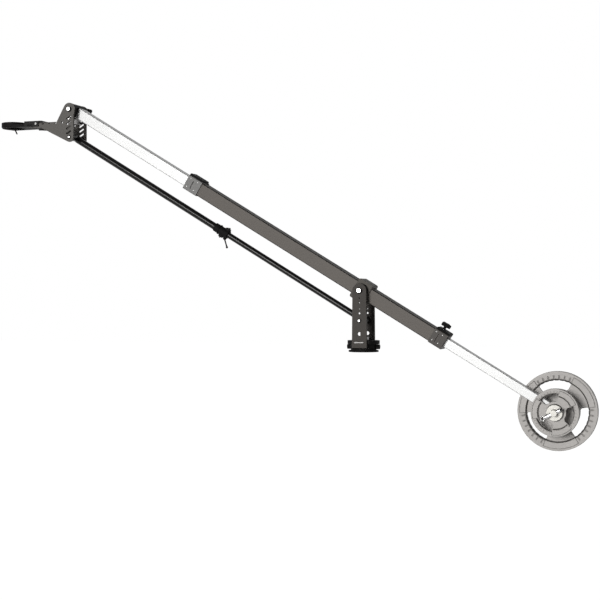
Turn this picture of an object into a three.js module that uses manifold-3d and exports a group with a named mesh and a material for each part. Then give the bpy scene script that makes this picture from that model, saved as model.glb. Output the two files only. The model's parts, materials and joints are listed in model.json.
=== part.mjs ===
// Camera jib crane: a telescoping boom on a turntable column, levelled by a parallel rod.
// Millimetres, +Z up. The origin is the centre of the base's underside. The weights are toward +X
// and the camera end toward -X.

import * as THREE from "three";
import { mergeVertices } from "three/addons/utils/BufferGeometryUtils.js";
import Module from "manifold-3d";

// Whole crane
const pivotHeight = 228;
const linkSpacing = 111.5;
const boomTilt = 31;
const headReach = 1409;
const weightReach = 832;
const weightAxisDrop = 2.6;

// Clearances and fineness
const fit = 0.3;
const overrun = 2;
const fine = 24;
const medium = 16;
const coarse = 10;

// Base flange, its spindle and the hole for a mounting bolt
const flangeDiameter = 112;
const flangeHeight = 6.5;
const flangeChamfer = 1.5;
const stepDiameter = 96;
const stepHeight = 5.5;
const spindleDiameter = 24;
const boltHoleDiameter = 9.5;
const boltHoleDepth = 22;

// Turntable, its bearing ring, nut and side knobs
const bearingDiameter = 84;
const bearingThickness = 3;
const turntableDiameter = 98;
const turntableHeight = 16.1;
const turntableChamfer = 1.5;
const nutAcrossCorners = 40;
const nutHeight = 12;
const spindleEndHeight = 2;
const panKnobDiameter = 18;
const panKnobLength = 13.5;
const panKnobFlutes = 12;
const panKnobFluteDepth = 1.2;
const panScrewDiameter = 8;
const panScrewReach = 17;
const panKnobHeight = 19.3;

// Column foot and side plates
const footDiameter = 120;
const footThickness = 14;
const tenonLength = 36;
const tenonThickness = 4.4;
const tenonOffset = -2;
const columnPlateThickness = 8;
const columnBottom = 16;
const columnBottomWidth = 57;
const columnTopWidth = 53;
const columnHoleDrops = [28, 44, 68, 84, 160];
const columnHoleDiameters = [4.6, 5.4, 3.6, 7.6, 14];

// Tilt axle, hub and bush
const axleDiameter = 16;
const axleCapDiameter = 21;
const axleCapLength = 9.5;
const axleCapChamfer = 2.2;
const tiltBushWall = 1.4;
const tiltHubDiameter = 54;
const tiltHubThickness = 11.6;

// Saddle that holds the boom's outer tube
const saddleLength = 61;
const saddleCentre = 1.5;
const cheekThickness = 6;
const saddleTopThickness = 11.5;
const cheekDrop = 40;
const saddleCorner = 7;

// Tubes of the boom
const outerTubeWidth = 64;
const outerTubeHeight = 52.6;
const outerTubeWall = 3;
const outerTubeCorner = 3.5;
const outerTubeFront = 812;
const outerTubeRear = 362;
const frontGuideWallSide = 2.4;
const frontGuideWallTop = 1.95;
const frontTubeWall = 2.5;
const frontTubeCorner = 3;
const frontTubeInside = 147;
const rearGuideWallSide = 7.4;
const rearGuideWallTop = 5.5;
const rearTubeWall = 2.5;
const rearTubeCorner = 2.8;
const rearTubeInside = 117;
const rearTubePast = 24;
const glideLength = 40;
const guideLength = 48;

// Clamps at both ends of the outer tube
const clampWallSide = 3.7;
const clampWallTop = 2.7;
const clampCorner = 3.5;
const clampLip = 13;
const frontClampLength = 64;
const rearClampLip = 5;
const rearClampLength = 55;
const clampSlitLength = 33;
const clampSlitWidth = 2;
const clampSlitRadius = 90;
const clampScrewDiameter = 5;
const clampScrewRise = 0.8;
const clampScrewUp = 19.4;
const clampScrewDown = 14.5;
const frontScrewFromEnd = 12.5;
const frontScrewPitch = 34;
const frontSlitFromEnd = 28;
const rearScrewFromEnd = 19.3;
const rearScrewPitch = 26;
const rearSlitFromEnd = 33.5;
const capWidth = 52;
const capThickness = 7;
const capCorner = 2.5;
const capShortfall = 1.5;
const capLipThickness = 2;
const capLipDrop = 4;
const knobStudDiameter = 8;
const frontStudFromEnd = 32;
const rearStudFromEnd = 33;

// Star knobs
const starLobes = 5;
const starLobeShare = 0.16;
const starEdgeShare = 0.18;
const clampKnobDiameter = 38;
const clampKnobHeight = 14;
const knobNeckDiameter = 11;
const knobNeckHeight = 9;
const clampKnobStandoff = 0.6;
const headKnobDiameter = 52;
const headKnobHeight = 38;
const headKnobNeckDiameter = 28;
const headKnobNeckHeight = 10;
const headKnobBore = 12;
const headKnobEngagement = 30;

// Boom's end fitting and its bushes
const barrelDiameter = 49;
const barrelLength = 88;
const tubeSetback = 25;
const shoulderLength = 16;
const plugLength = 60;
const headBushDiameter = 22;
const headBushLength = 18;
const headBushFlange = 3;
const headBushFlangeDiameter = 34;
const headCapLength = 7;

// Head plates, from the head pivot: x to the right and z up
const headPlateThickness = 8;
const headLobeRadius = 25.4;
const headLowerLobeRadius = 19;
const headLowerLobeShift = 1;
const headRightEdge = 20;
const headBlendDrop = 29;
const kneeX = -57;
const kneeZ = -50;
const armEndX = -199;
const armTopZ = -51;
const armBottomZ = -64;
const armHeelX = -126;
const armHeelZ = -70;
const rowHoleDiameter = 7.2;
const rowScrewHoleDiameter = 5.6;
const rowHoleZ = -52.5;
const rowFirstX = -32;
const rowPitch = 29;
const rowHoles = 5;
const slotCount = 4;
const slotFirstZ = -35;
const slotPitch = 19.2;
const slotX = -1.8;
const slotLength = 17;
const slotWidth = 7.6;
const slotAngle = 30;

// Tie bar between the head plates
const tieBarRight = -2;
const tieBarWidth = 22;
const tieBarTop = -28.5;
const tieBarHeight = 24.5;

// Camera platform
const channelLeft = -202;
const channelFlangeRight = -137.5;
const channelTopRight = -122;
const channelTop = -41;
const channelSheet = 2.5;
const channelFlange = 4;
const channelBottom = -64;
const headTenonLeft = -188;
const headTenonRight = -164;
const headTenonTop = -55.2;
const headTenonThickness = 3.4;
const tailRight = -152;
const tailTop = -49;
const tailBottom = -61;
const bowlCentre = -281;
const bowlDiameter = 107;
const bowlTop = -39;
const bowlHeight = 18;
const ballDiameter = 88;
const bowlChamfer = 1.5;
const platformScrewHead = 9;
const platformScrewHeadHeight = 3;
const platformScrewDiameter = 5;
const cameraPlateThickness = 6;
const cameraPlateDrop = 15;
const cameraHubDiameter = 22;
const cameraScrewDiameter = 9.5;
const cameraKnobDiameter = 36;
const cameraKnobHeight = 12;
const tommyBarDiameter = 5.4;
const tommyBarLength = 22;
const tommyBarAngle = 62;
const cameraScrewBelowTop = 2;

// Levelling rod
const rodInnerDiameter = 23;
const rodInnerWall = 2.5;
const rodOuterDiameter = 27;
const rodOuterWall = 1.7;
const rodInnerReach = 840;
const rodOuterStart = 674;
const rodPinDiameter = 10;
const rodPinHeadDiameter = 15;
const rodPinHeadHeight = 2.5;
const rodEyeDiameter = 25;
const rodEyeSetback = 30;
const rodPlugLength = 45;

// Rod clamp
const collarWall = 3.2;
const collarHeadEnd = 698;
const collarColumnEnd = 634;
const collarFlangeAt = 675;
const collarFlangeThickness = 3;
const collarFlangeRim = 2.6;
const collarLobeDiameter = 18;
const collarLobeWidth = 20;
const collarLobeOffset = 21.5;
const collarLobeUpperAt = 646;
const collarLobeLowerAt = 659;
const leverHubAt = 641;
const leverHubDiameter = 12;
const leverHubHeight = 7;
const leverDiameter = 6;
const leverLength = 34;
const leverBallDiameter = 9;
const leverAngle = 42;

// Weight bar, washers and pins
const barDiameter = 25;
const barTipDiameter = 24;
const washerDiameter = 57;
const washerThickness = 8;
const pinDiameter = 15;
const pinRingSide = 33;
const pinTipSide = 33;
const pinTaper = 9;
const pinNeckDiameter = 6;
const pinNeckLength = 8;
const pinAngle = 27;
const pinBehindWasher = 8.5;
const ringRadius = 7.5;
const ringWire = 1.1;
const ringHoleDiameter = 3.8;

// Weight plates: overall sizes, then the casting's own features
const largeWeight = {
  diameter: 285,
  rimThickness: 27,
  webThickness: 13,
  hubDiameter: 64,
  rimWidth: 33,
  windowOuter: 109,
  windowInner: 80,
  windowSweep: 64,
  windowStart: 96,
  sides: 32,
};
const smallWeight = {
  diameter: 170,
  rimThickness: 20,
  webThickness: 10,
  hubDiameter: 54,
  rimWidth: 19,
  windowOuter: 65,
  windowInner: 39,
  windowSweep: 62,
  windowStart: 110,
  sides: 28,
};
const weightWindows = 3;
const weightSlope = 4;
const weightEdge = 2.5;
const weightGap = 1;
const panelRise = 1.2;
const panelMargin = 4;
const panelShare = 0.46;

const degree = Math.PI / 180;
const tilt = boomTilt * degree;

// Half sizes and stations that several pieces share
const outerHalfWidth = outerTubeWidth / 2;
const outerHalfHeight = outerTubeHeight / 2;
const boreHalfWidth = outerHalfWidth - outerTubeWall;
const boreHalfHeight = outerHalfHeight - outerTubeWall;
const frontHalfWidth = boreHalfWidth - fit - frontGuideWallSide - fit;
const frontHalfHeight = boreHalfHeight - fit - frontGuideWallTop - fit;
const rearHalfWidth = boreHalfWidth - fit - rearGuideWallSide - fit;
const rearHalfHeight = boreHalfHeight - fit - rearGuideWallTop - fit;
const cheekInner = outerHalfWidth + fit;
const cheekOuter = cheekInner + cheekThickness;
const tiltHubInner = cheekOuter + fit;
const tiltHubOuter = tiltHubInner + tiltHubThickness;
const columnInner = tiltHubOuter + fit;
const columnOuter = columnInner + columnPlateThickness;
const axleRadius = axleDiameter / 2;
const axleBore = axleRadius + fit;
const headInner = barrelLength / 2 + fit + headBushFlange + fit;
const headOuter = headInner + headPlateThickness;
const bearingBottom = flangeHeight + stepHeight + fit;
const turntableBottom = bearingBottom + fit;
const turntableTop = turntableBottom + turntableHeight;
const footBottom = turntableTop + fit;
const footTop = footBottom + footThickness;
const nutBottom = footTop + fit;
const spindleTop = nutBottom + nutHeight + spindleEndHeight;
const rodPivotHeight = pivotHeight - linkSpacing;
const rodPinRadius = rodPinDiameter / 2;
const rodPinBore = rodPinRadius + fit;

const wasm = await Module();
wasm.setup();

// Materials
function material(color, roughness, metalness) {
  return new THREE.MeshStandardMaterial({ color, roughness, metalness });
}
const greyPaint = material(0x6b6763, 0.45, 0.35);
const clampPaint = material(0x8b8885, 0.45, 0.4);
const blackAnodised = material(0x1b1b1c, 0.4, 0.5);
const blackPlastic = material(0x151515, 0.55, 0);
const silverAnodised = material(0xd9dadb, 0.28, 0.9);
const bareAluminium = material(0xa9a8a6, 0.4, 0.9);
const brightSteel = material(0xd4d5d7, 0.15, 1);
const bronze = material(0x9a7440, 0.4, 0.9);
const whiteNylon = material(0xd8d6ce, 0.6, 0);
const castIron = material(0xa8a4a0, 0.6, 0.5);

// A closed geometry as a solid that can be joined and cut
function solid(geometry) {
  geometry.deleteAttribute("normal");
  geometry.deleteAttribute("uv");
  const merged = mergeVertices(geometry, 1e-4);
  return new wasm.Manifold(
    new wasm.Mesh({
      numProp: 3,
      vertProperties: new Float32Array(merged.attributes.position.array),
      triVerts: new Uint32Array(merged.index.array),
    }),
  );
}

// A solid as a named mesh
function piece(name, body, look) {
  const mesh = body.getMesh();
  const indexed = new THREE.BufferGeometry();
  indexed.setAttribute("position", new THREE.BufferAttribute(mesh.vertProperties, 3));
  indexed.setIndex(new THREE.BufferAttribute(mesh.triVerts, 1));
  const geometry = indexed.toNonIndexed();
  geometry.computeVertexNormals();
  const result = new THREE.Mesh(geometry, look);
  result.name = name;
  return result;
}

// A box between two corners
function box(low, high) {
  const size = high.map((value, i) => value - low[i]);
  const geometry = new THREE.BoxGeometry(...size);
  return solid(geometry.translate(...high.map((value, i) => (value + low[i]) / 2)));
}

// Turns a shape's axis, which three.js builds along Y, to the axis named
function alongAxis(geometry, axis) {
  if (axis === "x") geometry.rotateZ(-Math.PI / 2);
  if (axis === "z") geometry.rotateX(Math.PI / 2);
  return geometry;
}

// A round bar along an axis, from one station to another, about a point
function bar(axis, radius, from, to, centre = [0, 0, 0], sides = medium) {
  const geometry = new THREE.CylinderGeometry(radius, radius, to - from, sides);
  geometry.translate(0, (from + to) / 2, 0);
  return solid(alongAxis(geometry, axis).translate(...centre));
}

// A turned body about an axis: its profile is [radius, station] from the axis back to the axis
function turned(axis, profile, centre = [0, 0, 0], sides = fine) {
  const points = profile.map(([radius, station]) => new THREE.Vector2(radius, station));
  const geometry = new THREE.LatheGeometry(points, sides);
  return solid(alongAxis(geometry, axis).translate(...centre));
}

// An outline in x and z as a slab across Y
function slab(outline, from, to, segments = 12) {
  const settings = { depth: to - from, bevelEnabled: false, curveSegments: segments };
  const geometry = new THREE.ExtrudeGeometry(outline, settings);
  return solid(geometry.rotateX(Math.PI / 2).translate(0, to, 0));
}

// A rectangle across Y and Z with round corners, drawn from one station to another along X
function roundedBar(halfWidth, halfHeight, corner, from, to) {
  const outline = new THREE.Shape();
  const y = halfWidth - corner;
  const z = halfHeight - corner;
  outline.absarc(y, z, corner, 0, Math.PI / 2);
  outline.absarc(-y, z, corner, Math.PI / 2, Math.PI);
  outline.absarc(-y, -z, corner, Math.PI, Math.PI * 1.5);
  outline.absarc(y, -z, corner, Math.PI * 1.5, Math.PI * 2);
  const settings = { depth: to - from, bevelEnabled: false, curveSegments: 2 };
  const geometry = new THREE.ExtrudeGeometry(outline, settings);
  const turn = new THREE.Matrix4().set(0, 0, 1, from, 1, 0, 0, 0, 0, 1, 0, 0, 0, 0, 0, 1);
  return solid(geometry.applyMatrix4(turn));
}

// A round-cornered tube: the wall is taken off the outer half sizes
function squareTube(halfWidth, halfHeight, wall, corner, from, to) {
  const bore = roundedBar(
    halfWidth - wall,
    halfHeight - wall,
    Math.max(corner - wall, corner / 4),
    from - overrun,
    to + overrun,
  );
  return roundedBar(halfWidth, halfHeight, corner, from, to).subtract(bore);
}

// A knob's outline with rounded lobes
function lobedOutline(radius, lobes, depth, stepsEach) {
  const outline = new THREE.Shape();
  const steps = lobes * stepsEach;
  for (let i = 0; i < steps; i += 1) {
    const angle = (i / steps) * Math.PI * 2;
    const reach = radius - (depth * (1 - Math.cos(lobes * angle))) / 2;
    const x = reach * Math.cos(angle);
    const y = reach * Math.sin(angle);
    if (i === 0) outline.moveTo(x, y);
    else outline.lineTo(x, y);
  }
  outline.closePath();
  return outline;
}

// A star knob about the Z axis: neck from the given station, star above it
function starKnob(diameter, height, neckDiameter, neckHeight, from) {
  const radius = diameter / 2;
  const edge = height * starEdgeShare;
  const settings = {
    depth: height - edge * 2,
    bevelThickness: edge,
    bevelSize: edge,
    bevelOffset: -edge,
    bevelSegments: 1,
  };
  const outline = lobedOutline(radius, starLobes, radius * starLobeShare * 2, 6);
  const star = new THREE.ExtrudeGeometry(outline, settings);
  star.translate(0, 0, from + neckHeight + edge);
  const neck = bar("z", neckDiameter / 2, from, from + neckHeight + height / 2);
  return solid(star).add(neck);
}

// BASE
function baseFlange() {
  const flange = flangeDiameter / 2;
  const step = stepDiameter / 2;
  const spindle = spindleDiameter / 2;
  const hole = boltHoleDiameter / 2;
  const stepTop = flangeHeight + stepHeight;
  return turned("z", [
    [0, boltHoleDepth],
    [hole, boltHoleDepth],
    [hole, 0],
    [flange - flangeChamfer, 0],
    [flange, flangeChamfer],
    [flange, flangeHeight - flangeChamfer],
    [flange - flangeChamfer, flangeHeight],
    [step, flangeHeight],
    [step, stepTop],
    [spindle, stepTop],
    [spindle, spindleTop],
    [0, spindleTop],
  ]);
}

// A washer or ring of square section about an axis
function ring(axis, inner, outer, from, to, centre = [0, 0, 0], sides = fine) {
  const profile = [
    [inner, from],
    [outer, from],
    [outer, to],
    [inner, to],
    [inner, from],
  ];
  return turned(axis, profile, centre, sides);
}

function panBearingRing() {
  const inner = spindleDiameter / 2 + fit;
  const top = bearingBottom + bearingThickness;
  return ring("z", inner, bearingDiameter / 2, bearingBottom, top);
}

function panSpindleNut() {
  const inner = spindleDiameter / 2 + fit;
  const body = bar("z", nutAcrossCorners / 2, nutBottom, nutBottom + nutHeight, [0, 0, 0], 6);
  const bore = bar("z", inner, nutBottom - overrun, nutBottom + nutHeight + overrun);
  return body.subtract(bore);
}

// COLUMN
function turntable() {
  const bore = spindleDiameter / 2 + fit;
  const recess = bearingDiameter / 2 + fit;
  const outer = turntableDiameter / 2;
  const recessTop = bearingBottom + bearingThickness + fit;
  const screwBore = panScrewDiameter / 2 + fit;
  const screwFrom = outer - panScrewReach - fit;
  let body = turned("z", [
    [bore, recessTop],
    [recess, recessTop],
    [recess, turntableBottom],
    [outer, turntableBottom],
    [outer, turntableTop - turntableChamfer],
    [outer - turntableChamfer, turntableTop],
    [bore, turntableTop],
    [bore, recessTop],
  ]);
  const centre = [0, 0, panKnobHeight];
  body = body.subtract(bar("x", screwBore, screwFrom, outer + overrun, centre, coarse));
  return body.subtract(bar("x", screwBore, -outer - overrun, -screwFrom, centre, coarse));
}

function columnFoot() {
  const side = columnInner - fit;
  const bore = spindleDiameter / 2 + fit;
  const tenonMiddle = (footBottom + footTop) / 2;
  const tenon = box(
    [tenonOffset - tenonLength / 2, -columnOuter + fit, tenonMiddle - tenonThickness / 2],
    [tenonOffset + tenonLength / 2, columnOuter - fit, tenonMiddle + tenonThickness / 2],
  );
  const half = footDiameter / 2;
  return bar("z", half, footBottom, footTop, [0, 0, 0], fine)
    .intersect(box([-half, -side, footBottom], [half, side, footTop]))
    .add(tenon)
    .subtract(bar("z", bore, footBottom - overrun, footTop + overrun));
}

function columnPlate(side) {
  const low = columnBottomWidth / 2;
  const radius = columnTopWidth / 2;
  const outline = new THREE.Shape();
  outline.moveTo(-low, columnBottom);
  outline.lineTo(low, columnBottom);
  outline.absarc(0, pivotHeight, radius, 0, Math.PI);
  outline.closePath();
  const from = side < 0 ? -columnOuter : columnInner;
  const to = from + columnPlateThickness;
  let body = slab(outline, from, to, fine / 2);
  const cut = (radiusOfHole, height, sides) => {
    const centre = [0, 0, height];
    const tool = bar("y", radiusOfHole, from - overrun, to + overrun, centre, sides);
    body = body.subtract(tool);
  };
  cut(axleBore + tiltBushWall + fit, pivotHeight, fine);
  cut(rodPinBore, rodPivotHeight, coarse);
  columnHoleDrops.forEach((drop, i) => {
    cut(columnHoleDiameters[i] / 2, pivotHeight - drop, coarse);
  });
  const tenonMiddle = (footBottom + footTop) / 2;
  const slotHalf = tenonLength / 2 + fit;
  const slotHalfHeight = tenonThickness / 2 + fit;
  return body.subtract(
    box(
      [tenonOffset - slotHalf, from - overrun, tenonMiddle - slotHalfHeight],
      [tenonOffset + slotHalf, to + overrun, tenonMiddle + slotHalfHeight],
    ),
  );
}

function tiltBush(side) {
  const from = side < 0 ? -columnOuter : columnInner;
  const centre = [0, 0, pivotHeight];
  const outer = axleBore + tiltBushWall;
  return ring("y", axleBore, outer, from, from + columnPlateThickness, centre, medium);
}

function panKnob(side) {
  const radius = panKnobDiameter / 2;
  const outline = lobedOutline(radius, panKnobFlutes, panKnobFluteDepth, 4);
  const settings = { depth: panKnobLength, bevelEnabled: false };
  const grip = new THREE.ExtrudeGeometry(outline, settings);
  const start = turntableDiameter / 2 + fit;
  grip.rotateY(Math.PI / 2).translate(start, 0, panKnobHeight);
  const screwFrom = turntableDiameter / 2 - panScrewReach;
  const centre = [0, 0, panKnobHeight];
  const screw = bar("x", panScrewDiameter / 2, screwFrom, start + overrun, centre, coarse);
  const body = solid(grip).add(screw);
  return side > 0 ? body : body.rotate([0, 0, 180]);
}

// A pin across Y with a round head at each end
function headedPin(outer, radius, headRadius, headHeight, centre) {
  const seat = outer + fit;
  return turned(
    "y",
    [
      [0, -seat - headHeight],
      [headRadius, -seat - headHeight],
      [headRadius, -seat],
      [radius, -seat],
      [radius, seat],
      [headRadius, seat],
      [headRadius, seat + headHeight],
      [0, seat + headHeight],
    ],
    centre,
    medium,
  );
}

function rodPin(outer, centre) {
  return headedPin(outer, rodPinRadius, rodPinHeadDiameter / 2, rodPinHeadHeight, centre);
}

// BOOM, in its own frame: the origin on the tilt axis and X along the tubes toward the weights
function saddle() {
  const half = saddleLength / 2;
  const from = saddleCentre - half;
  const to = saddleCentre + half;
  const top = outerHalfHeight + fit + saddleTopThickness;
  const under = outerHalfHeight + fit;
  const outline = new THREE.Shape();
  outline.moveTo(from, top);
  outline.lineTo(from, -cheekDrop + saddleCorner);
  outline.absarc(from + saddleCorner, -cheekDrop + saddleCorner, saddleCorner, Math.PI, Math.PI * 1.5);
  outline.absarc(to - saddleCorner, -cheekDrop + saddleCorner, saddleCorner, Math.PI * 1.5, Math.PI * 2);
  outline.lineTo(to, top);
  outline.closePath();
  return slab(outline, -cheekOuter, cheekOuter, 5)
    .subtract(
      box([from - overrun, -cheekInner, -cheekDrop - overrun], [to + overrun, cheekInner, under]),
    )
    .subtract(bar("y", axleBore, -cheekOuter - overrun, cheekOuter + overrun));
}

function tiltAxle(side) {
  const cap = axleCapDiameter / 2;
  const start = boreHalfWidth + fit;
  const seat = columnOuter + fit;
  const end = seat + axleCapLength;
  const body = turned(
    "y",
    [
      [0, start],
      [axleRadius, start],
      [axleRadius, seat],
      [cap, seat],
      [cap, end - axleCapChamfer],
      [cap - axleCapChamfer, end],
      [0, end],
    ],
    [0, 0, 0],
    medium,
  );
  return side > 0 ? body : body.rotate([0, 0, 180]);
}

function tiltHub(side) {
  const from = side < 0 ? -tiltHubOuter : tiltHubInner;
  return ring("y", axleBore, tiltHubDiameter / 2, from, from + tiltHubThickness);
}

function frontStud() {
  return -outerTubeFront - clampLip + frontStudFromEnd;
}

function rearStud() {
  return outerTubeRear + rearClampLip - rearStudFromEnd;
}

const studBore = knobStudDiameter / 2 + fit;

// The bore for the front clamp's stud, which comes in from the rear side
function frontStudBore() {
  const side = outerHalfWidth + clampWallSide + overrun * 2;
  return bar("y", studBore, 0, side, [frontStud(), 0, 0], coarse);
}

// The bore for the rear clamp's stud, which comes down from the top
function rearStudBore() {
  const top = outerHalfHeight + clampWallTop + capThickness + overrun * 2;
  return bar("z", studBore, 0, top, [rearStud(), 0, 0], coarse);
}

function outerTube() {
  const tube = squareTube(
    outerHalfWidth,
    outerHalfHeight,
    outerTubeWall,
    outerTubeCorner,
    -outerTubeFront,
    outerTubeRear,
  );
  const across = outerHalfWidth + overrun;
  return tube
    .subtract(bar("y", axleBore, -across, across))
    .subtract(frontStudBore())
    .subtract(rearStudBore());
}

// A clamp block: a sleeve over the end of the outer tube with a lip round the sliding tube
function clampBlock(tubeEnd, outward, length, lip, slide, screws) {
  const faceEnd = tubeEnd + outward * lip;
  const innerEnd = faceEnd - outward * length;
  const low = Math.min(faceEnd, innerEnd);
  const high = Math.max(faceEnd, innerEnd);
  const halfWidth = outerHalfWidth + fit + clampWallSide;
  const halfHeight = outerHalfHeight + fit + clampWallTop;
  const seatEnd = tubeEnd + outward * fit;
  const seatLow = Math.min(seatEnd, innerEnd - outward * overrun);
  const seatHigh = Math.max(seatEnd, innerEnd - outward * overrun);
  const seat = roundedBar(
    outerHalfWidth + fit,
    outerHalfHeight + fit,
    outerTubeCorner,
    seatLow,
    seatHigh,
  );
  const mouth = roundedBar(
    slide.halfWidth + fit,
    slide.halfHeight + fit,
    slide.corner,
    low - overrun,
    high + overrun,
  );
  let body = roundedBar(halfWidth, halfHeight, clampCorner, low, high);
  for (const side of [-1, 1]) {
    for (const inward of [screws.fromEnd, screws.fromEnd + screws.pitch]) {
      for (const height of [clampScrewUp, -clampScrewDown]) {
        const at = [faceEnd - outward * inward, 0, height];
        const from = side < 0 ? -halfWidth - clampScrewRise : halfWidth - clampWallSide / 2;
        const to = side < 0 ? -halfWidth + clampWallSide / 2 : halfWidth + clampScrewRise;
        body = body.add(bar("y", clampScrewDiameter / 2, from, to, at, 6));
      }
    }
  }
  return body.subtract(seat).subtract(mouth).subtract(clampSlit(faceEnd - outward * screws.slit));
}

// The curved saw cut that lets a clamp block close
function clampSlit(at) {
  const sweep = clampSlitLength / clampSlitRadius / 2;
  const centre = at + clampSlitRadius;
  const outer = clampSlitRadius + clampSlitWidth / 2;
  const inner = clampSlitRadius - clampSlitWidth / 2;
  const outline = new THREE.Shape();
  outline.absarc(centre, 0, outer, Math.PI - sweep, Math.PI + sweep);
  outline.absarc(centre, 0, inner, Math.PI + sweep, Math.PI - sweep, true);
  outline.closePath();
  const across = outerHalfWidth + clampWallSide + overrun * 2;
  return slab(outline, -across, across, 3);
}

function frontClampBlock() {
  const slide = { halfWidth: frontHalfWidth, halfHeight: frontHalfHeight, corner: frontTubeCorner };
  const screws = { fromEnd: frontScrewFromEnd, pitch: frontScrewPitch, slit: frontSlitFromEnd };
  const block = clampBlock(-outerTubeFront, -1, frontClampLength, clampLip, slide, screws);
  return block.subtract(frontStudBore());
}

function rearClampBlock() {
  const slide = { halfWidth: rearHalfWidth, halfHeight: rearHalfHeight, corner: rearTubeCorner };
  const screws = { fromEnd: rearScrewFromEnd, pitch: rearScrewPitch, slit: rearSlitFromEnd };
  const block = clampBlock(outerTubeRear, 1, rearClampLength, rearClampLip, slide, screws);
  return block.subtract(rearStudBore());
}

// A cap on a clamp block's top, with a short lip down its end face
function clampCap(faceEnd, outward, length) {
  const under = outerHalfHeight + fit + clampWallTop + fit;
  const top = under + capThickness;
  const face = faceEnd + outward * (capLipThickness + fit);
  const inner = faceEnd - outward * (length - capShortfall);
  const outline = new THREE.Shape();
  outline.moveTo(face, under - capLipDrop);
  outline.lineTo(faceEnd + outward * fit, under - capLipDrop);
  outline.lineTo(faceEnd + outward * fit, under);
  outline.lineTo(inner, under);
  outline.lineTo(inner, top - capCorner);
  outline.lineTo(inner + outward * capCorner, top);
  outline.lineTo(face - outward * capCorner, top);
  outline.lineTo(face, top - capCorner);
  outline.closePath();
  return slab(outline, -capWidth / 2, capWidth / 2);
}

function frontClampCap() {
  return clampCap(-outerTubeFront - clampLip, -1, frontClampLength);
}

function rearClampCap() {
  const cap = clampCap(outerTubeRear + rearClampLip, 1, rearClampLength);
  return cap.subtract(rearStudBore());
}

// A nylon sleeve between the outer tube's bore and a sliding tube
function guideSleeve(slideHalfWidth, slideHalfHeight, slideCorner, from, to) {
  const outer = roundedBar(
    boreHalfWidth - fit,
    boreHalfHeight - fit,
    outerTubeCorner - outerTubeWall,
    from,
    to,
  );
  const bore = roundedBar(
    slideHalfWidth + fit,
    slideHalfHeight + fit,
    slideCorner,
    from - overrun,
    to + overrun,
  );
  return outer.subtract(bore);
}

function frontGuideSleeve() {
  const from = -outerTubeFront + fit;
  const sleeve = guideSleeve(
    frontHalfWidth,
    frontHalfHeight,
    frontTubeCorner,
    from,
    from + guideLength,
  );
  return sleeve.subtract(frontStudBore());
}

function rearGuideSleeve() {
  const to = outerTubeRear - fit;
  const sleeve = guideSleeve(rearHalfWidth, rearHalfHeight, rearTubeCorner, to - guideLength, to);
  return sleeve.subtract(rearStudBore());
}

function clampKnob(seat, tip) {
  const from = seat + clampKnobStandoff;
  const stud = bar("z", knobStudDiameter / 2, tip, from + knobNeckHeight, [0, 0, 0], coarse);
  return starKnob(clampKnobDiameter, clampKnobHeight, knobNeckDiameter, knobNeckHeight, from).add(stud);
}

function frontClampKnob() {
  const seat = outerHalfWidth + fit + clampWallSide;
  const knob = clampKnob(seat, frontHalfWidth + fit);
  return knob.rotate([-90, 0, 0]).translate([frontStud(), 0, 0]);
}

function rearClampKnob() {
  const seat = outerHalfHeight + fit + clampWallTop + fit + capThickness;
  return clampKnob(seat, rearHalfHeight + fit).translate([rearStud(), 0, 0]);
}

// FRONT STAGE, in the boom's frame
const tubeStart = -headReach + tubeSetback;
const frontTubeEnd = -outerTubeFront + frontTubeInside;

function frontTube() {
  return squareTube(
    frontHalfWidth,
    frontHalfHeight,
    frontTubeWall,
    frontTubeCorner,
    tubeStart,
    frontTubeEnd,
  );
}

function frontTubeGlide() {
  return guideSleeve(
    frontHalfWidth,
    frontHalfHeight,
    frontTubeCorner,
    frontTubeEnd - glideLength,
    frontTubeEnd,
  );
}

function boomEndFitting() {
  const half = barrelLength / 2;
  const centre = [-headReach, 0, 0];
  const barrel = bar("y", barrelDiameter / 2, -half, half, centre, fine);
  const shoulderEnd = tubeStart - fit;
  const shoulder = roundedBar(
    frontHalfWidth,
    frontHalfHeight,
    frontTubeCorner,
    shoulderEnd - shoulderLength,
    shoulderEnd,
  );
  const plug = roundedBar(
    frontHalfWidth - frontTubeWall - fit,
    frontHalfHeight - frontTubeWall - fit,
    frontTubeCorner - frontTubeWall,
    shoulderEnd - overrun,
    tubeStart + plugLength,
  );
  const bushBore = headBushDiameter / 2 + fit;
  const bushEnd = half - headBushLength - fit;
  return barrel
    .add(shoulder)
    .add(plug)
    .subtract(bar("y", axleBore, -half - overrun, half + overrun, centre))
    .subtract(bar("y", bushBore, bushEnd, half + overrun, centre))
    .subtract(bar("y", bushBore, -half - overrun, -bushEnd, centre));
}

function headBush(side) {
  const half = barrelLength / 2;
  const flangeFrom = half + fit;
  const radius = headBushDiameter / 2;
  const body = turned(
    "y",
    [
      [axleBore, half - headBushLength],
      [radius, half - headBushLength],
      [radius, flangeFrom],
      [headBushFlangeDiameter / 2, flangeFrom],
      [headBushFlangeDiameter / 2, flangeFrom + headBushFlange],
      [axleBore, flangeFrom + headBushFlange],
      [axleBore, half - headBushLength],
    ],
    [0, 0, 0],
    medium,
  );
  return (side > 0 ? body : body.rotate([0, 0, 180])).translate([-headReach, 0, 0]);
}

// REAR STAGE, in the boom's frame
const rearTubeStart = outerTubeRear - rearTubeInside;
const weightAxis = [weightReach, 0, -weightAxisDrop];

function rearTube() {
  const across = rearHalfWidth + overrun;
  return squareTube(
    rearHalfWidth,
    rearHalfHeight,
    rearTubeWall,
    rearTubeCorner,
    rearTubeStart,
    weightReach + rearTubePast,
  ).subtract(bar("y", barDiameter / 2 + fit, -across, across, weightAxis));
}

function rearTubeGlide() {
  return guideSleeve(
    rearHalfWidth,
    rearHalfHeight,
    rearTubeCorner,
    rearTubeStart,
    rearTubeStart + glideLength,
  );
}

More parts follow.
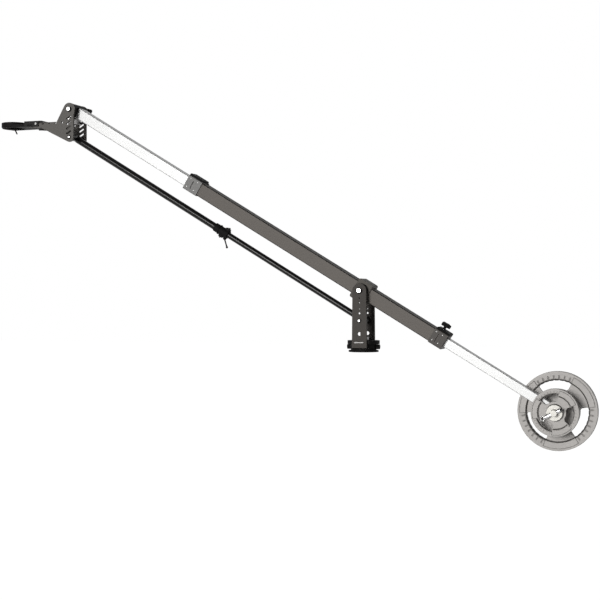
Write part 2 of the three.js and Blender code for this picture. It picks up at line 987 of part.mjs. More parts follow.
// Each weight's middle, washer and pin stand outward from the rear tube's side
const smallWeightMiddle = rearHalfWidth + weightGap + panelRise + smallWeight.rimThickness / 2;
const largeWeightMiddle = rearHalfWidth + weightGap + panelRise + largeWeight.rimThickness / 2;
const frontWasherFrom = smallWeightMiddle + smallWeight.rimThickness / 2 + panelRise + fit;
const rearWasherFrom = largeWeightMiddle + largeWeight.rimThickness / 2 + panelRise + fit;
const frontPinAt = frontWasherFrom + washerThickness + pinBehindWasher;
const rearPinAt = rearWasherFrom + washerThickness + pinBehindWasher;

// WEIGHT END, in a frame on the weight bar's axis with X level
function weightBar() {
  const pinBore = pinDiameter / 2 + fit;
  const reach = barDiameter;
  const across = (side) => {
    const at = side < 0 ? -frontPinAt : rearPinAt;
    const bore = bar("x", pinBore, -reach, reach, [0, 0, 0], medium);
    return bore.rotate([0, -pinAngle, 0]).translate([0, at, 0]);
  };
  const tip = barTipDiameter / 2;
  const from = -frontWasherFrom - washerThickness - fit;
  const to = rearWasherFrom + washerThickness + fit;
  return bar("y", barDiameter / 2, from, to, [0, 0, 0], fine)
    .add(bar("y", tip, -frontPinAt - pinDiameter, from + overrun, [0, 0, 0], medium))
    .add(bar("y", tip, to - overrun, rearPinAt + pinDiameter, [0, 0, 0], medium))
    .subtract(across(-1))
    .subtract(across(1));
}

function washer(side) {
  const from = side < 0 ? -frontWasherFrom - washerThickness : rearWasherFrom;
  const inner = barDiameter / 2 + fit;
  return ring("y", inner, washerDiameter / 2, from, from + washerThickness);
}

// A window or a raised panel of a weight plate: part of a ring about the centre
function ringSector(inner, outer, middle, sweep) {
  const start = (middle - sweep / 2) * degree;
  const end = (middle + sweep / 2) * degree;
  const outline = new THREE.Shape();
  outline.absarc(0, 0, outer, start, end);
  outline.absarc(0, 0, inner, end, start, true);
  outline.closePath();
  return outline;
}

// A cast weight plate with three hand windows and raised panels between them
function weightPlate(size) {
  const outer = size.diameter / 2;
  const rim = size.rimThickness / 2;
  const web = size.webThickness / 2;
  const hub = size.hubDiameter / 2;
  const bore = barDiameter / 2 + fit;
  const rimInner = outer - size.rimWidth;
  const half = [
    [bore, -rim],
    [hub, -rim],
    [hub + weightSlope, -web],
    [rimInner - weightSlope, -web],
    [rimInner, -rim],
    [outer - weightEdge, -rim],
    [outer, -rim + weightEdge],
  ];
  const mirrored = half.map(([radius, station]) => [radius, -station]).reverse();
  let body = turned("y", [...half, ...mirrored, half[0]], [0, 0, 0], size.sides);
  const step = 360 / weightWindows;
  const panelInner = rimInner + panelMargin;
  const panelOuter = outer - weightEdge - panelMargin;
  for (let i = 0; i < weightWindows; i += 1) {
    const middle = size.windowStart + i * step;
    const window = ringSector(size.windowInner, size.windowOuter, middle, size.windowSweep);
    body = body.subtract(slab(window, -rim - overrun, rim + overrun, 6));
    const panel = ringSector(panelInner, panelOuter, middle + step / 2, step * panelShare);
    body = body.add(slab(panel, -rim - panelRise, rim + panelRise, 5));
  }
  return body;
}

function crossPin(side) {
  const radius = pinDiameter / 2;
  const neck = pinNeckDiameter / 2;
  const neckTop = pinRingSide + pinNeckLength;
  const body = turned(
    "x",
    [
      [0, -neckTop],
      [neck, -neckTop],
      [neck, -pinRingSide],
      [radius, -pinRingSide],
      [radius, pinTipSide - pinTaper],
      [radius / 2, pinTipSide],
      [0, pinTipSide],
    ],
    [0, 0, 0],
    medium,
  );
  const eye = [-ringEyeAt, 0, 0];
  const hole = bar("z", ringHoleDiameter / 2, -radius, radius, eye, coarse);
  const at = side < 0 ? -frontPinAt : rearPinAt;
  return body.subtract(hole).rotate([0, -pinAngle, 0]).translate([0, at, 0]);
}

const ringEyeAt = pinRingSide + pinNeckLength / 2;

// The wire ring stands in the pin's cross hole, so its near side passes through the neck
function pullRing(side) {
  const points = [];
  for (let i = 0; i <= 8; i += 1) {
    const angle = (i / 8) * Math.PI * 2;
    const x = ringRadius + ringWire * Math.cos(angle);
    points.push(new THREE.Vector2(x, ringWire * Math.sin(angle)));
  }
  const geometry = new THREE.LatheGeometry(points, medium);
  const sag = pinNeckDiameter / 2;
  const lean = ringRadius - Math.sqrt(ringRadius ** 2 - sag ** 2);
  const at = side < 0 ? -frontPinAt : rearPinAt;
  return solid(geometry)
    .translate([-ringEyeAt - ringRadius + lean / 2, 0, 0])
    .rotate([0, -pinAngle, 0])
    .translate([0, at, 0]);
}

// HEAD, in a level frame on the head's pivot
function headPlate(side) {
  const outline = new THREE.Shape();
  const right = headRightEdge;
  const lowerX = headLowerLobeShift;
  const lowerZ = -linkSpacing;
  const knee = Math.hypot(kneeX, kneeZ);
  const kneeAngle = Math.atan2(kneeZ, kneeX);
  const leftTangent = kneeAngle - Math.acos(headLobeRadius / knee);
  const rightStart = -Math.acos(right / headLobeRadius) / 2;
  const heelX = armHeelX - lowerX;
  const heelZ = armHeelZ - lowerZ;
  const heel = Math.hypot(heelX, heelZ);
  const heelTangent = Math.atan2(heelZ, heelX) + Math.acos(headLowerLobeRadius / heel);
  outline.moveTo(right, -headBlendDrop);
  outline.absarc(0, 0, headLobeRadius, rightStart, leftTangent + Math.PI * 2);
  outline.lineTo(kneeX, kneeZ);
  outline.lineTo(armEndX, armTopZ);
  outline.lineTo(armEndX, armBottomZ);
  outline.lineTo(armHeelX, armHeelZ);
  outline.absarc(lowerX, lowerZ, headLowerLobeRadius, heelTangent, Math.PI * 2);
  outline.lineTo(right, lowerZ + headLowerLobeRadius);
  outline.closePath();
  const from = side < 0 ? -headOuter : headInner;
  const to = from + headPlateThickness;
  let body = slab(outline, from, to, 10);
  const cut = (radius, x, z, sides) => {
    const tool = bar("y", radius, from - overrun, to + overrun, [x, 0, z], sides);
    body = body.subtract(tool);
  };
  cut(axleBore, 0, 0, medium);
  cut(rodPinBore, 0, -linkSpacing, coarse);
  for (let i = 0; i < rowHoles; i += 1) {
    const across = i < rowHoles - 1 ? rowHoleDiameter : rowScrewHoleDiameter;
    cut(across / 2, rowFirstX - i * rowPitch, rowHoleZ, 8);
  }
  for (let i = 0; i < slotCount; i += 1) {
    const z = slotFirstZ - i * slotPitch;
    body = body.subtract(slantedSlot(from, to).translate([slotX, 0, z]));
  }
  return body.subtract(tenonSlot(from, to));
}

function slantedSlot(from, to) {
  const half = slotLength / 2;
  const radius = slotWidth / 2;
  const outline = new THREE.Shape();
  outline.absarc(half, 0, radius, -Math.PI / 2, Math.PI / 2);
  outline.absarc(-half, 0, radius, Math.PI / 2, Math.PI * 1.5);
  outline.closePath();
  return slab(outline, from - overrun, to + overrun, 3).rotate([0, -slotAngle, 0]);
}

function tenonSlot(from, to) {
  return box(
    [headTenonLeft - fit, from - overrun, headTenonTop - headTenonThickness - fit],
    [headTenonRight + fit, to + overrun, headTenonTop + fit],
  );
}

function headAxle() {
  const cap = axleCapDiameter / 2;
  const seat = headOuter + fit;
  const end = seat + headCapLength;
  const thread = headKnobBore / 2 - fit;
  return turned(
    "y",
    [
      [0, -end],
      [cap - axleCapChamfer, -end],
      [cap, -end + axleCapChamfer],
      [cap, -seat],
      [axleRadius, -seat],
      [axleRadius, headOuter],
      [thread, headOuter],
      [thread, headOuter + headKnobEngagement],
      [0, headOuter + headKnobEngagement],
    ],
    [0, 0, 0],
    medium,
  );
}

function headTieBar() {
  const side = headInner - fit;
  return box(
    [tieBarRight - tieBarWidth, -side, tieBarTop - tieBarHeight],
    [tieBarRight, side, tieBarTop],
  );
}

function headLockKnob() {
  const from = headOuter + fit;
  const knob = starKnob(
    headKnobDiameter,
    headKnobHeight,
    headKnobNeckDiameter,
    headKnobNeckHeight,
    from,
  );
  const deep = headOuter + headKnobEngagement + fit;
  const bore = bar("z", headKnobBore / 2, from - overrun, deep, [0, 0, 0], coarse);
  const halfLobe = 180 / starLobes;
  return knob.subtract(bore).rotate([0, 0, halfLobe]).rotate([-90, 0, 0]);
}

function platformChannel() {
  const inner = headOuter + fit;
  const outer = inner + channelFlange;
  const top = box([channelLeft, -outer, channelTop - channelSheet], [channelTopRight, outer, channelTop]);
  const flanges = box([channelLeft, -outer, channelBottom], [channelFlangeRight, outer, channelTop]);
  const inside = box(
    [channelLeft - overrun, -inner, channelBottom - overrun],
    [channelFlangeRight + overrun, inner, channelTop - channelSheet],
  );
  const screwX = rowFirstX - (rowHoles - 1) * rowPitch;
  const screwBore = platformScrewDiameter / 2 + fit;
  const screws = bar("y", screwBore, -outer - overrun, outer + overrun, [screwX, 0, rowHoleZ], coarse);
  return top
    .add(flanges.subtract(inside))
    .subtract(tenonSlot(-outer, outer))
    .subtract(screws);
}

// Points of a ball's lower half, from its rim down to a given depth: [radius, drop]
function ballProfile(ball, depth, steps) {
  const last = Math.asin(depth / ball);
  const points = [];
  for (let i = 0; i <= steps; i += 1) {
    const angle = (i / steps) * last;
    points.push([ball * Math.cos(angle), ball * Math.sin(angle)]);
  }
  return points;
}

function bowlCasting() {
  const outer = bowlDiameter / 2;
  const bottom = bowlTop - bowlHeight;
  const side = headInner - fit;
  const outline = new THREE.Shape();
  const ringSide = outer - weightEdge;
  outline.moveTo(bowlCentre, -ringSide);
  outline.lineTo(armEndX - fit, -side);
  outline.lineTo(tailRight, -side);
  outline.lineTo(tailRight, side);
  outline.lineTo(armEndX - fit, side);
  outline.lineTo(bowlCentre, ringSide);
  outline.closePath();
  const settings = { depth: tailTop - tailBottom, bevelEnabled: false };
  const tail = new THREE.ExtrudeGeometry(outline, settings).translate(0, 0, tailBottom);
  const disc = turned(
    "z",
    [
      [0, bottom],
      [outer - bowlChamfer, bottom],
      [outer, bottom + bowlChamfer],
      [outer, bowlTop - bowlChamfer],
      [outer - bowlChamfer, bowlTop],
      [0, bowlTop],
    ],
    [bowlCentre, 0, 0],
  );
  const seat = ballProfile(ballDiameter / 2, bowlHeight, 5);
  const throat = seat[seat.length - 1][0];
  const hollow = turned(
    "z",
    [
      [0, tailBottom - overrun],
      [throat, tailBottom - overrun],
      ...seat.reverse().map(([radius, drop]) => [radius, bowlTop - drop]),
      [ballDiameter / 2, bowlTop + overrun],
      [0, bowlTop + overrun],
    ],
    [bowlCentre, 0, 0],
  );
  const reach = headOuter + channelFlange;
  const tenons = box(
    [headTenonLeft, -reach, headTenonTop - headTenonThickness],
    [headTenonRight, reach, headTenonTop],
  );
  return solid(tail).add(disc).subtract(hollow).add(tenons);
}

// A flat-topped half ball that levels in the bowl, with a hub for the camera screw
function cameraPlate() {
  const top = bowlTop - fit;
  const bottom = bowlTop - cameraPlateDrop;
  const hole = cameraScrewDiameter / 2 + fit;
  const ball = ballDiameter / 2 - fit;
  const skirt = ballProfile(ball, bowlHeight, 5).slice(1);
  const inside = skirt[skirt.length - 1][0] - cameraPlateThickness;
  return turned(
    "z",
    [
      [hole, bottom],
      [cameraHubDiameter / 2, bottom],
      [cameraHubDiameter / 2, top - cameraPlateThickness],
      [inside, top - cameraPlateThickness],
      [inside, bowlTop - bowlHeight],
      ...skirt.reverse().map(([radius, drop]) => [radius, bowlTop - drop]),
      [Math.sqrt(ball ** 2 - fit ** 2), top],
      [hole, top],
      [hole, bottom],
    ],
    [bowlCentre, 0, 0],
  );
}

function cameraScrewKnob() {
  const top = bowlTop - cameraPlateDrop - fit;
  const bottom = top - cameraKnobHeight;
  const centre = [bowlCentre, 0, 0];
  const screwTop = bowlTop - cameraScrewBelowTop;
  const screw = bar("z", cameraScrewDiameter / 2, bottom + overrun, screwTop, centre, coarse);
  const knob = bar("z", cameraKnobDiameter / 2, bottom, top, centre, medium);
  const handle = bar("x", tommyBarDiameter / 2, 0, tommyBarLength, [0, 0, 0], coarse)
    .rotate([0, tommyBarAngle, 0])
    .translate([bowlCentre, 0, bottom + tommyBarDiameter]);
  return knob.add(handle).add(screw);
}

function platformScrew(side) {
  const x = rowFirstX - (rowHoles - 1) * rowPitch;
  const seat = headOuter + fit + channelFlange + fit;
  const radius = platformScrewDiameter / 2;
  const head = platformScrewHead / 2;
  const body = turned(
    "y",
    [
      [0, headInner],
      [radius, headInner],
      [radius, seat],
      [head, seat],
      [head, seat + platformScrewHeadHeight],
      [0, seat + platformScrewHeadHeight],
    ],
    [0, 0, 0],
    coarse,
  );
  return (side > 0 ? body : body.rotate([0, 0, 180])).translate([x, 0, rowHoleZ]);
}

// LEVELLING ROD, in a frame on its column pivot with X along the rod toward the weights
function roundTube(diameter, wall, from, to) {
  const outer = bar("x", diameter / 2, from, to, [0, 0, 0], medium);
  return outer.subtract(
    bar("x", diameter / 2 - wall, from - overrun, to + overrun, [0, 0, 0], medium),
  );
}

function rodInnerTube() {
  return roundTube(rodInnerDiameter, rodInnerWall, -rodInnerReach, -rodEyeSetback);
}

function rodOuterTube() {
  return roundTube(rodOuterDiameter, rodOuterWall, -headReach + rodEyeSetback, -rodOuterStart);
}

// An eye across the link's gap, with a plug into its tube; it points along X from its own centre
function rodEye(halfGap, plugDiameter, tubeDiameter) {
  const reach = halfGap - fit;
  const eye = bar("y", rodEyeDiameter / 2, -reach, reach, [0, 0, 0], medium);
  const neck = bar("x", tubeDiameter / 2, 0, rodEyeSetback - fit, [0, 0, 0], medium);
  const plug = bar("x", plugDiameter / 2 - fit, 0, rodEyeSetback + rodPlugLength, [0, 0, 0], medium);
  return eye.add(neck).add(plug).subtract(bar("y", rodPinBore, -reach - overrun, reach + overrun));
}

function rodColumnEye() {
  const plug = rodInnerDiameter - rodInnerWall * 2;
  return rodEye(columnInner, plug, rodInnerDiameter).rotate([0, 0, 180]);
}

function rodHeadEye() {
  const plug = rodOuterDiameter - rodOuterWall * 2;
  return rodEye(headInner, plug, rodOuterDiameter).translate([-headReach, 0, 0]);
}

function rodClampCollar() {
  const radius = rodOuterDiameter / 2 + fit + collarWall;
  const sleeve = bar("x", radius, -collarHeadEnd, -collarColumnEnd, [0, 0, 0], medium);
  const flangeFrom = -collarFlangeAt - collarFlangeThickness;
  const flange = bar("x", radius + collarFlangeRim, flangeFrom, -collarFlangeAt, [0, 0, 0], medium);
  const lobeHalf = collarLobeWidth / 2;
  const lobe = (at, height) => {
    const round = bar("y", collarLobeDiameter / 2, -lobeHalf, lobeHalf, [-at, 0, height], coarse);
    const web = box(
      [-at - collarLobeDiameter / 2, -lobeHalf, Math.min(0, height)],
      [-at + collarLobeDiameter / 2, lobeHalf, Math.max(0, height)],
    );
    return round.add(web);
  };
  const outerBore = bar(
    "x",
    rodOuterDiameter / 2 + fit,
    -collarHeadEnd - overrun,
    -rodOuterStart + fit,
    [0, 0, 0],
    medium,
  );
  const innerBore = bar(
    "x",
    rodInnerDiameter / 2 + fit,
    -collarHeadEnd,
    -collarColumnEnd + overrun,
    [0, 0, 0],
    medium,
  );
  return sleeve
    .add(flange)
    .add(lobe(collarLobeUpperAt, collarLobeOffset))
    .add(lobe(collarLobeLowerAt, -collarLobeOffset))
    .subtract(outerBore)
    .subtract(innerBore);
}

// The clamp's lever turns on a screw axis square to the rod, on the collar's underside
function rodClampLever() {
  const radius = rodOuterDiameter / 2 + fit + collarWall;
  const top = -radius - fit;
  const bottom = top - leverHubHeight;
  const middle = (top + bottom) / 2;
  const centre = [-leverHubAt, 0, 0];
  const hub = bar("z", leverHubDiameter / 2, bottom, top, centre, medium);
  const arm = bar("x", leverDiameter / 2, 0, leverLength, [0, 0, 0], coarse);
  const ball = new THREE.SphereGeometry(leverBallDiameter / 2, 12, 8).translate(leverLength, 0, 0);
  const handle = arm.add(solid(ball)).rotate([0, leverAngle, 0]);
  return hub.add(handle.translate([-leverHubAt, 0, middle]));
}

// Assembly
const crane = new THREE.Group();

const base = new THREE.Group();
base.add(piece("base_flange", baseFlange(), blackAnodised));
base.add(piece("pan_bearing_ring", panBearingRing(), brightSteel));
base.add(piece("pan_spindle_nut", panSpindleNut(), brightSteel));
crane.add(base);

const column = new THREE.Group();
column.add(piece("turntable", turntable(), blackAnodised));
column.add(piece("column_foot", columnFoot(), blackAnodised));
column.add(piece("column_plate_front", columnPlate(-1), greyPaint));
column.add(piece("column_plate_rear", columnPlate(1), greyPaint));
column.add(piece("tilt_bush_front", tiltBush(-1), bronze));
column.add(piece("tilt_bush_rear", tiltBush(1), bronze));
column.add(piece("column_rod_pin", rodPin(columnOuter, [0, 0, rodPivotHeight]), brightSteel));
column.add(piece("pan_lock_knob", panKnob(-1), blackPlastic));
column.add(piece("pan_drag_knob", panKnob(1), blackPlastic));
crane.add(column);

const boom = new THREE.Group();
boom.position.set(0, 0, pivotHeight);
boom.rotation.y = tilt;
boom.add(piece("saddle", saddle(), clampPaint));
boom.add(piece("tilt_axle_front", tiltAxle(-1), brightSteel));
boom.add(piece("tilt_axle_rear", tiltAxle(1), brightSteel));
boom.add(piece("tilt_hub_front", tiltHub(-1), blackAnodised));
boom.add(piece("tilt_hub_rear", tiltHub(1), blackAnodised));
boom.add(piece("outer_tube", outerTube(), greyPaint));
boom.add(piece("front_clamp_block", frontClampBlock(), clampPaint));
boom.add(piece("front_clamp_cap", frontClampCap(), blackPlastic));
boom.add(piece("front_guide_sleeve", frontGuideSleeve(), whiteNylon));
boom.add(piece("front_clamp_knob", frontClampKnob(), blackPlastic));
boom.add(piece("rear_clamp_block", rearClampBlock(), greyPaint));
boom.add(piece("rear_clamp_cap", rearClampCap(), blackPlastic));
boom.add(piece("rear_guide_sleeve", rearGuideSleeve(), whiteNylon));
boom.add(piece("rear_clamp_knob", rearClampKnob(), blackPlastic));
boom.add(piece("front_tube", frontTube(), silverAnodised));
boom.add(piece("front_tube_glide", frontTubeGlide(), whiteNylon));
boom.add(piece("boom_end_fitting", boomEndFitting(), blackAnodised));
boom.add(piece("head_bush_front", headBush(-1), bronze));
boom.add(piece("head_bush_rear", headBush(1), bronze));
boom.add(piece("rear_tube", rearTube(), silverAnodised));
boom.add(piece("rear_tube_glide", rearTubeGlide(), whiteNylon));
crane.add(boom);

const weights = new THREE.Group();
weights.position.set(
  weightReach * Math.cos(tilt) - weightAxisDrop * Math.sin(tilt),
  0,
  pivotHeight - weightReach * Math.sin(tilt) - weightAxisDrop * Math.cos(tilt),
);
weights.add(piece("weight_bar", weightBar(), brightSteel));
const largeWeightMesh = piece("large_weight", weightPlate(largeWeight), castIron);
largeWeightMesh.position.y = largeWeightMiddle;
weights.add(largeWeightMesh);
const smallWeightMesh = piece("small_weight", weightPlate(smallWeight), castIron);
smallWeightMesh.position.y = -smallWeightMiddle;
weights.add(smallWeightMesh);
weights.add(piece("weight_washer_front", washer(-1), brightSteel));
weights.add(piece("weight_washer_rear", washer(1), brightSteel));
weights.add(piece("cross_pin_front", crossPin(-1), brightSteel));
weights.add(piece("cross_pin_rear", crossPin(1), brightSteel));
weights.add(piece("pull_ring_front", pullRing(-1), brightSteel));
weights.add(piece("pull_ring_rear", pullRing(1), brightSteel));
crane.add(weights);

const head = new THREE.Group();
head.position.set(-headReach * Math.cos(tilt), 0, pivotHeight + headReach * Math.sin(tilt));
head.add(piece("head_plate_front", headPlate(-1), greyPaint));
head.add(piece("head_plate_rear", headPlate(1), greyPaint));
head.add(piece("head_axle", headAxle(), brightSteel));
head.add(piece("head_tie_bar", headTieBar(), bareAluminium));
head.add(piece("head_lock_knob", headLockKnob(), blackPlastic));
head.add(piece("head_rod_pin", rodPin(headOuter, [0, 0, -linkSpacing]), brightSteel));
head.add(piece("platform_channel", platformChannel(), blackAnodised));
head.add(piece("bowl_casting", bowlCasting(), blackAnodised));
head.add(piece("camera_plate", cameraPlate(), blackAnodised));
head.add(piece("camera_screw_knob", cameraScrewKnob(), blackPlastic));
head.add(piece("platform_screw_front", platformScrew(-1), brightSteel));
head.add(piece("platform_screw_rear", platformScrew(1), brightSteel));
crane.add(head);

const rod = new THREE.Group();
rod.position.set(0, 0, rodPivotHeight);
rod.rotation.y = tilt;
rod.add(piece("rod_inner_tube", rodInnerTube(), blackAnodised));
rod.add(piece("rod_column_eye", rodColumnEye(), blackAnodised));
rod.add(piece("rod_outer_tube", rodOuterTube(), blackAnodised));
rod.add(piece("rod_head_eye", rodHeadEye(), blackAnodised));
rod.add(piece("rod_clamp_collar", rodClampCollar(), blackPlastic));
rod.add(piece("rod_clamp_lever", rodClampLever(), blackPlastic));
crane.add(rod);

export default crane;
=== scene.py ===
# Camera jib crane: a telescoping boom on a turntable column, with a levelling rod under it, a
# levelling head at its far end and two cast weights behind. Drawn in millimetres, placed in metres.
import json
import math

import bmesh
import bpy
from mathutils import Matrix, Vector


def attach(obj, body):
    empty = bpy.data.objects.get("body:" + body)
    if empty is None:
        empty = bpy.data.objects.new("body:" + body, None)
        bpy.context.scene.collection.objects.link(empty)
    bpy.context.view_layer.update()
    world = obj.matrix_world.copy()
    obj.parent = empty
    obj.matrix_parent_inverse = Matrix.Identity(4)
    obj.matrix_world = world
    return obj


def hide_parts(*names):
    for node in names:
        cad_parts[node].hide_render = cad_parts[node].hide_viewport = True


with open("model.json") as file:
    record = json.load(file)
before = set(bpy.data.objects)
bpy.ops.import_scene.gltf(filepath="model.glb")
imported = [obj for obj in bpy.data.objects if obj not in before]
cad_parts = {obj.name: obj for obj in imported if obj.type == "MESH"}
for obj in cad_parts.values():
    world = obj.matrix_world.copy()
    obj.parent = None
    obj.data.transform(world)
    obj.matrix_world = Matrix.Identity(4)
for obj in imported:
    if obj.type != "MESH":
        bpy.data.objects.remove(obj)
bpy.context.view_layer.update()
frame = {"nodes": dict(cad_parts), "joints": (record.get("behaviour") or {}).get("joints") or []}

# Camera, floor and light
# The camera stands to the right of the crane at the height of its column. The floor lies 1.2 m
# below the base, white like the room round it, and takes the crane's shadow.
scene = bpy.context.scene


def linked(name, data):
    """A new object in the scene."""
    made = bpy.data.objects.new(name, data)
    scene.collection.objects.link(made)
    return made


camera_lens = bpy.data.cameras.new("camera")
camera_lens.sensor_width = 36
camera_lens.lens = 77.76
camera = linked("camera", camera_lens)
camera.location = (1.3597, -4.6413, 0.2116)
camera_turn = math.radians(19.14)
camera.rotation_euler = (math.radians(89.78), 0, camera_turn)
scene.camera = camera
scene.view_settings.view_transform = "Standard"


class Wire:
    """An output socket in a node tree. Sums and products on it add Math nodes to the tree."""

    def __init__(self, tree, socket=None):
        self.tree = tree
        self.socket = socket

    def node(self, kind, sockets=None, out=0, **settings):
        made = self.tree.nodes.new(kind)
        for name, value in settings.items():
            setattr(made, name, value)
        for name, value in (sockets or {}).items():
            if isinstance(value, Wire):
                self.tree.links.new(value.socket, made.inputs[name])
            else:
                made.inputs[name].default_value = value
        return Wire(self.tree, made.outputs[out])

    def sum(self, operation, first, second=0):
        return self.node("ShaderNodeMath", {0: first, 1: second}, operation=operation)

    def __add__(self, other):
        return self.sum("ADD", self, other)

    def __sub__(self, other):
        return self.sum("SUBTRACT", self, other)

    def __rsub__(self, other):
        return self.sum("SUBTRACT", other, self)

    def __mul__(self, other):
        return self.sum("MULTIPLY", self, other)

    def __truediv__(self, other):
        return self.sum("DIVIDE", self, other)

    def at_most(self, other):
        return self.sum("MINIMUM", self, other)

    def at_least(self, other):
        return self.sum("MAXIMUM", self, other)

    def share(self):
        """The value held between 0 and 1."""
        return self.at_least(0).at_most(1)

    def vector(self, operation, other=(0, 0, 0), out=0):
        sockets = {0: self, 1: other}
        return self.node("ShaderNodeVectorMath", sockets, out, operation=operation)

    def mapped(self, **sockets):
        return self.node("ShaderNodeMapping", {"Vector": self, **sockets})

    def axis(self, name):
        return self.node("ShaderNodeSeparateXYZ", {0: self}, "xyz".index(name))

    def mix(self, low, high):
        """A colour from low where this is 0 to high where it is 1."""
        return self.node("ShaderNodeMix", {0: self, 6: low, 7: high}, 2, data_type="RGBA")

    def into(self, node, socket):
        self.tree.links.new(self.socket, node.inputs[socket])


def ray(tree, kind):
    """1 for the rays of a kind, such as those that the camera sees directly."""
    return Wire(tree).node("ShaderNodeLightPath", out="Is " + kind + " Ray")


# A white sweep stands behind the crane, and the studio on the camera's side of it is dim.
room = bpy.data.worlds.new("white_sweep_and_dim_room")
room.use_nodes = True
scene.world = room
room_tree = room.node_tree
backdrop = room_tree.nodes["Background"]
backdrop.inputs["Color"].default_value = (1, 1, 1, 1)
toward_sweep = (-math.sin(camera_turn), math.cos(camera_turn), 0)
outward = Wire(room_tree).node("ShaderNodeTexCoord", out="Generated")
sweep = (outward.vector("DOT_PRODUCT", toward_sweep, 1) * 1.2 - 0.1).share()
matt_light = sweep * 0.55 + 0.08
gloss_light = sweep * 0.8 + 0.2
brightness = matt_light + ray(room_tree, "Glossy") * (gloss_light - matt_light)
brightness = brightness.at_least(ray(room_tree, "Camera")).at_least(ray(room_tree, "Transmission"))
brightness.into(backdrop, "Strength")

key = bpy.data.lights.new("key_lamp", "SUN")
key.energy = 2.25
key.angle = math.radians(22)
key_lamp = linked("key_lamp", key)
key_side = math.radians(14)
key_height = math.radians(9)
toward_key = Vector((
    -math.sin(key_side) * math.cos(key_height),
    -math.cos(key_side) * math.cos(key_height),
    math.sin(key_height),
))
key_lamp.rotation_euler = toward_key.to_track_quat("Z", "Y").to_euler()

floor_drop = 1.2
floor_reach = 30
floor_corners = [
    (x * floor_reach, y * floor_reach, -floor_drop) for x, y in ((-1, -1), (1, -1), (1, 1), (-1, 1))
]
floor_mesh = bpy.data.meshes.new("floor")
floor_mesh.from_pydata(floor_corners, [], [(0, 1, 2, 3)])
floor = linked("floor", floor_mesh)
floor_paint = bpy.data.materials.new("white_floor")
floor_paint.use_nodes = True
floor_tree = floor_paint.node_tree
floor_tree.nodes.clear()
floor_shade = Wire(floor_tree).node("ShaderNodeBsdfDiffuse", {"Color": (0.6, 0.6, 0.6, 1)})
floor_glow = Wire(floor_tree).node("ShaderNodeEmission", {"Strength": 1.4})
floor_seen = ray(floor_tree, "Camera").at_least(ray(floor_tree, "Glossy")) * 0.7
floor_mix = floor_seen.node("ShaderNodeMixShader", {0: floor_seen, 1: floor_shade, 2: floor_glow})
floor_mix.into(floor_tree.nodes.new("ShaderNodeOutputMaterial"), "Surface")
floor_mesh.materials.append(floor_paint)

# Frames of the moving groups
# Each group is drawn in its own frame in millimetres: the boom and the rod along X toward the
# weights, the head level on its pivot, and the weights level on their bar.
mm = 0.001
joints = {joint["name"]: joint for joint in frame["joints"]}
boom_pivot = Vector(joints["tilt"]["pos_m"])
head_pivot = Vector(joints["head_level"]["pos_m"])
reach = boom_pivot - head_pivot
boom_tilt = math.atan2(-reach.z, reach.x)
boom_slope = Matrix.Rotation(boom_tilt, 4, "Y")
boom_frame = Matrix.Translation(boom_pivot) @ boom_slope
rod_frame = Matrix.Translation(joints["rod_swing"]["pos_m"]) @ boom_slope
head_frame = Matrix.Translation(head_pivot)
weight_axis = Vector(joints["large_weight_turn"]["pos_m"])
weight_axis.y = 0
weight_frame = Matrix.Translation(weight_axis)
base_frame = Matrix.Identity(4)
near_and_far = (("front", -1), ("rear", 1))


def new_finish(name, colour, roughness, metallic, specular=0.5):
    """A material, with its shader and a wire of its object coordinates, in metres."""
    finish = bpy.data.materials.new(name)
    finish.use_nodes = True
    finish.diffuse_color = (*colour, 1)
    shader = finish.node_tree.nodes["Principled BSDF"]
    shader.inputs["Base Color"].default_value = (*colour, 1)
    shader.inputs["Roughness"].default_value = roughness
    shader.inputs["Metallic"].default_value = metallic
    shader.inputs["Specular IOR Level"].default_value = specular
    return finish, shader, Wire(finish.node_tree).node("ShaderNodeTexCoord", out="Object")


def mottle(place, scale, detail=3):
    """Soft noise from 0 to 1 over a surface, with a scale in spots per metre."""
    return place.node("ShaderNodeTexNoise", {"Vector": place, "Scale": scale, "Detail": detail})


def tint(shader, mask, low, high, shade=None, dark=(0.008, 0.0075, 0.007)):
    """The base colour goes from low to high with the mask, and to dark where shade is 1."""
    colour = mask.mix((*low, 1), (*high, 1))
    if shade:
        colour = shade.mix(colour, (*dark, 1))
    colour.into(shader, "Base Color")


def beyond(place, axis, limit, width):
    """0 to 1 where the distance along an axis, either way, passes the limit, in metres."""
    size = place.sum("ABSOLUTE", place.axis(axis))
    return ((size - limit) * (1 / width)).share()


def relief(shader, height, depth, strength):
    """Raises the surface by height times depth, in metres."""
    sockets = {"Height": height, "Distance": depth, "Strength": strength}
    height.node("ShaderNodeBump", sockets).into(shader, "Normal")


def axis_radius(place, axis, centre):
    """The distance of a surface point from an axis through centre."""
    across = [int(name != axis) for name in "xyz"]
    return place.vector("SUBTRACT", centre).vector("MULTIPLY", across).vector("LENGTH", out=1)


def turned_finish(name, colour, roughness, metallic, specular, axis, centre):
    """Metal off the lathe: fine rings about an axis, and a slightly uneven gloss."""
    finish, shader, place = new_finish(name, colour, roughness, metallic, specular)
    marks = (axis_radius(place, axis, centre) + place.axis(axis)) * 2400
    sockets = {"W": marks, "Scale": 1.0, "Detail": 2.0}
    rings = place.node("ShaderNodeTexNoise", sockets, noise_dimensions="1D")
    cloud = mottle(place, 45)
    (rings * 0.10 + cloud * 0.16 + (roughness - 0.13)).into(shader, "Roughness")
    tint(shader, cloud, [c * 0.82 for c in colour], [c * 1.18 for c in colour])
    relief(shader, rings, 0.00002, 0.6)
    return finish


def black_finish(name, axis, centre=(0, 0, 0)):
    """Turned aluminium, anodised black."""
    colour = (0.008, 0.0076, 0.0076)
    return turned_finish(name, colour, 0.62, 0.1, 0.1, axis, centre)


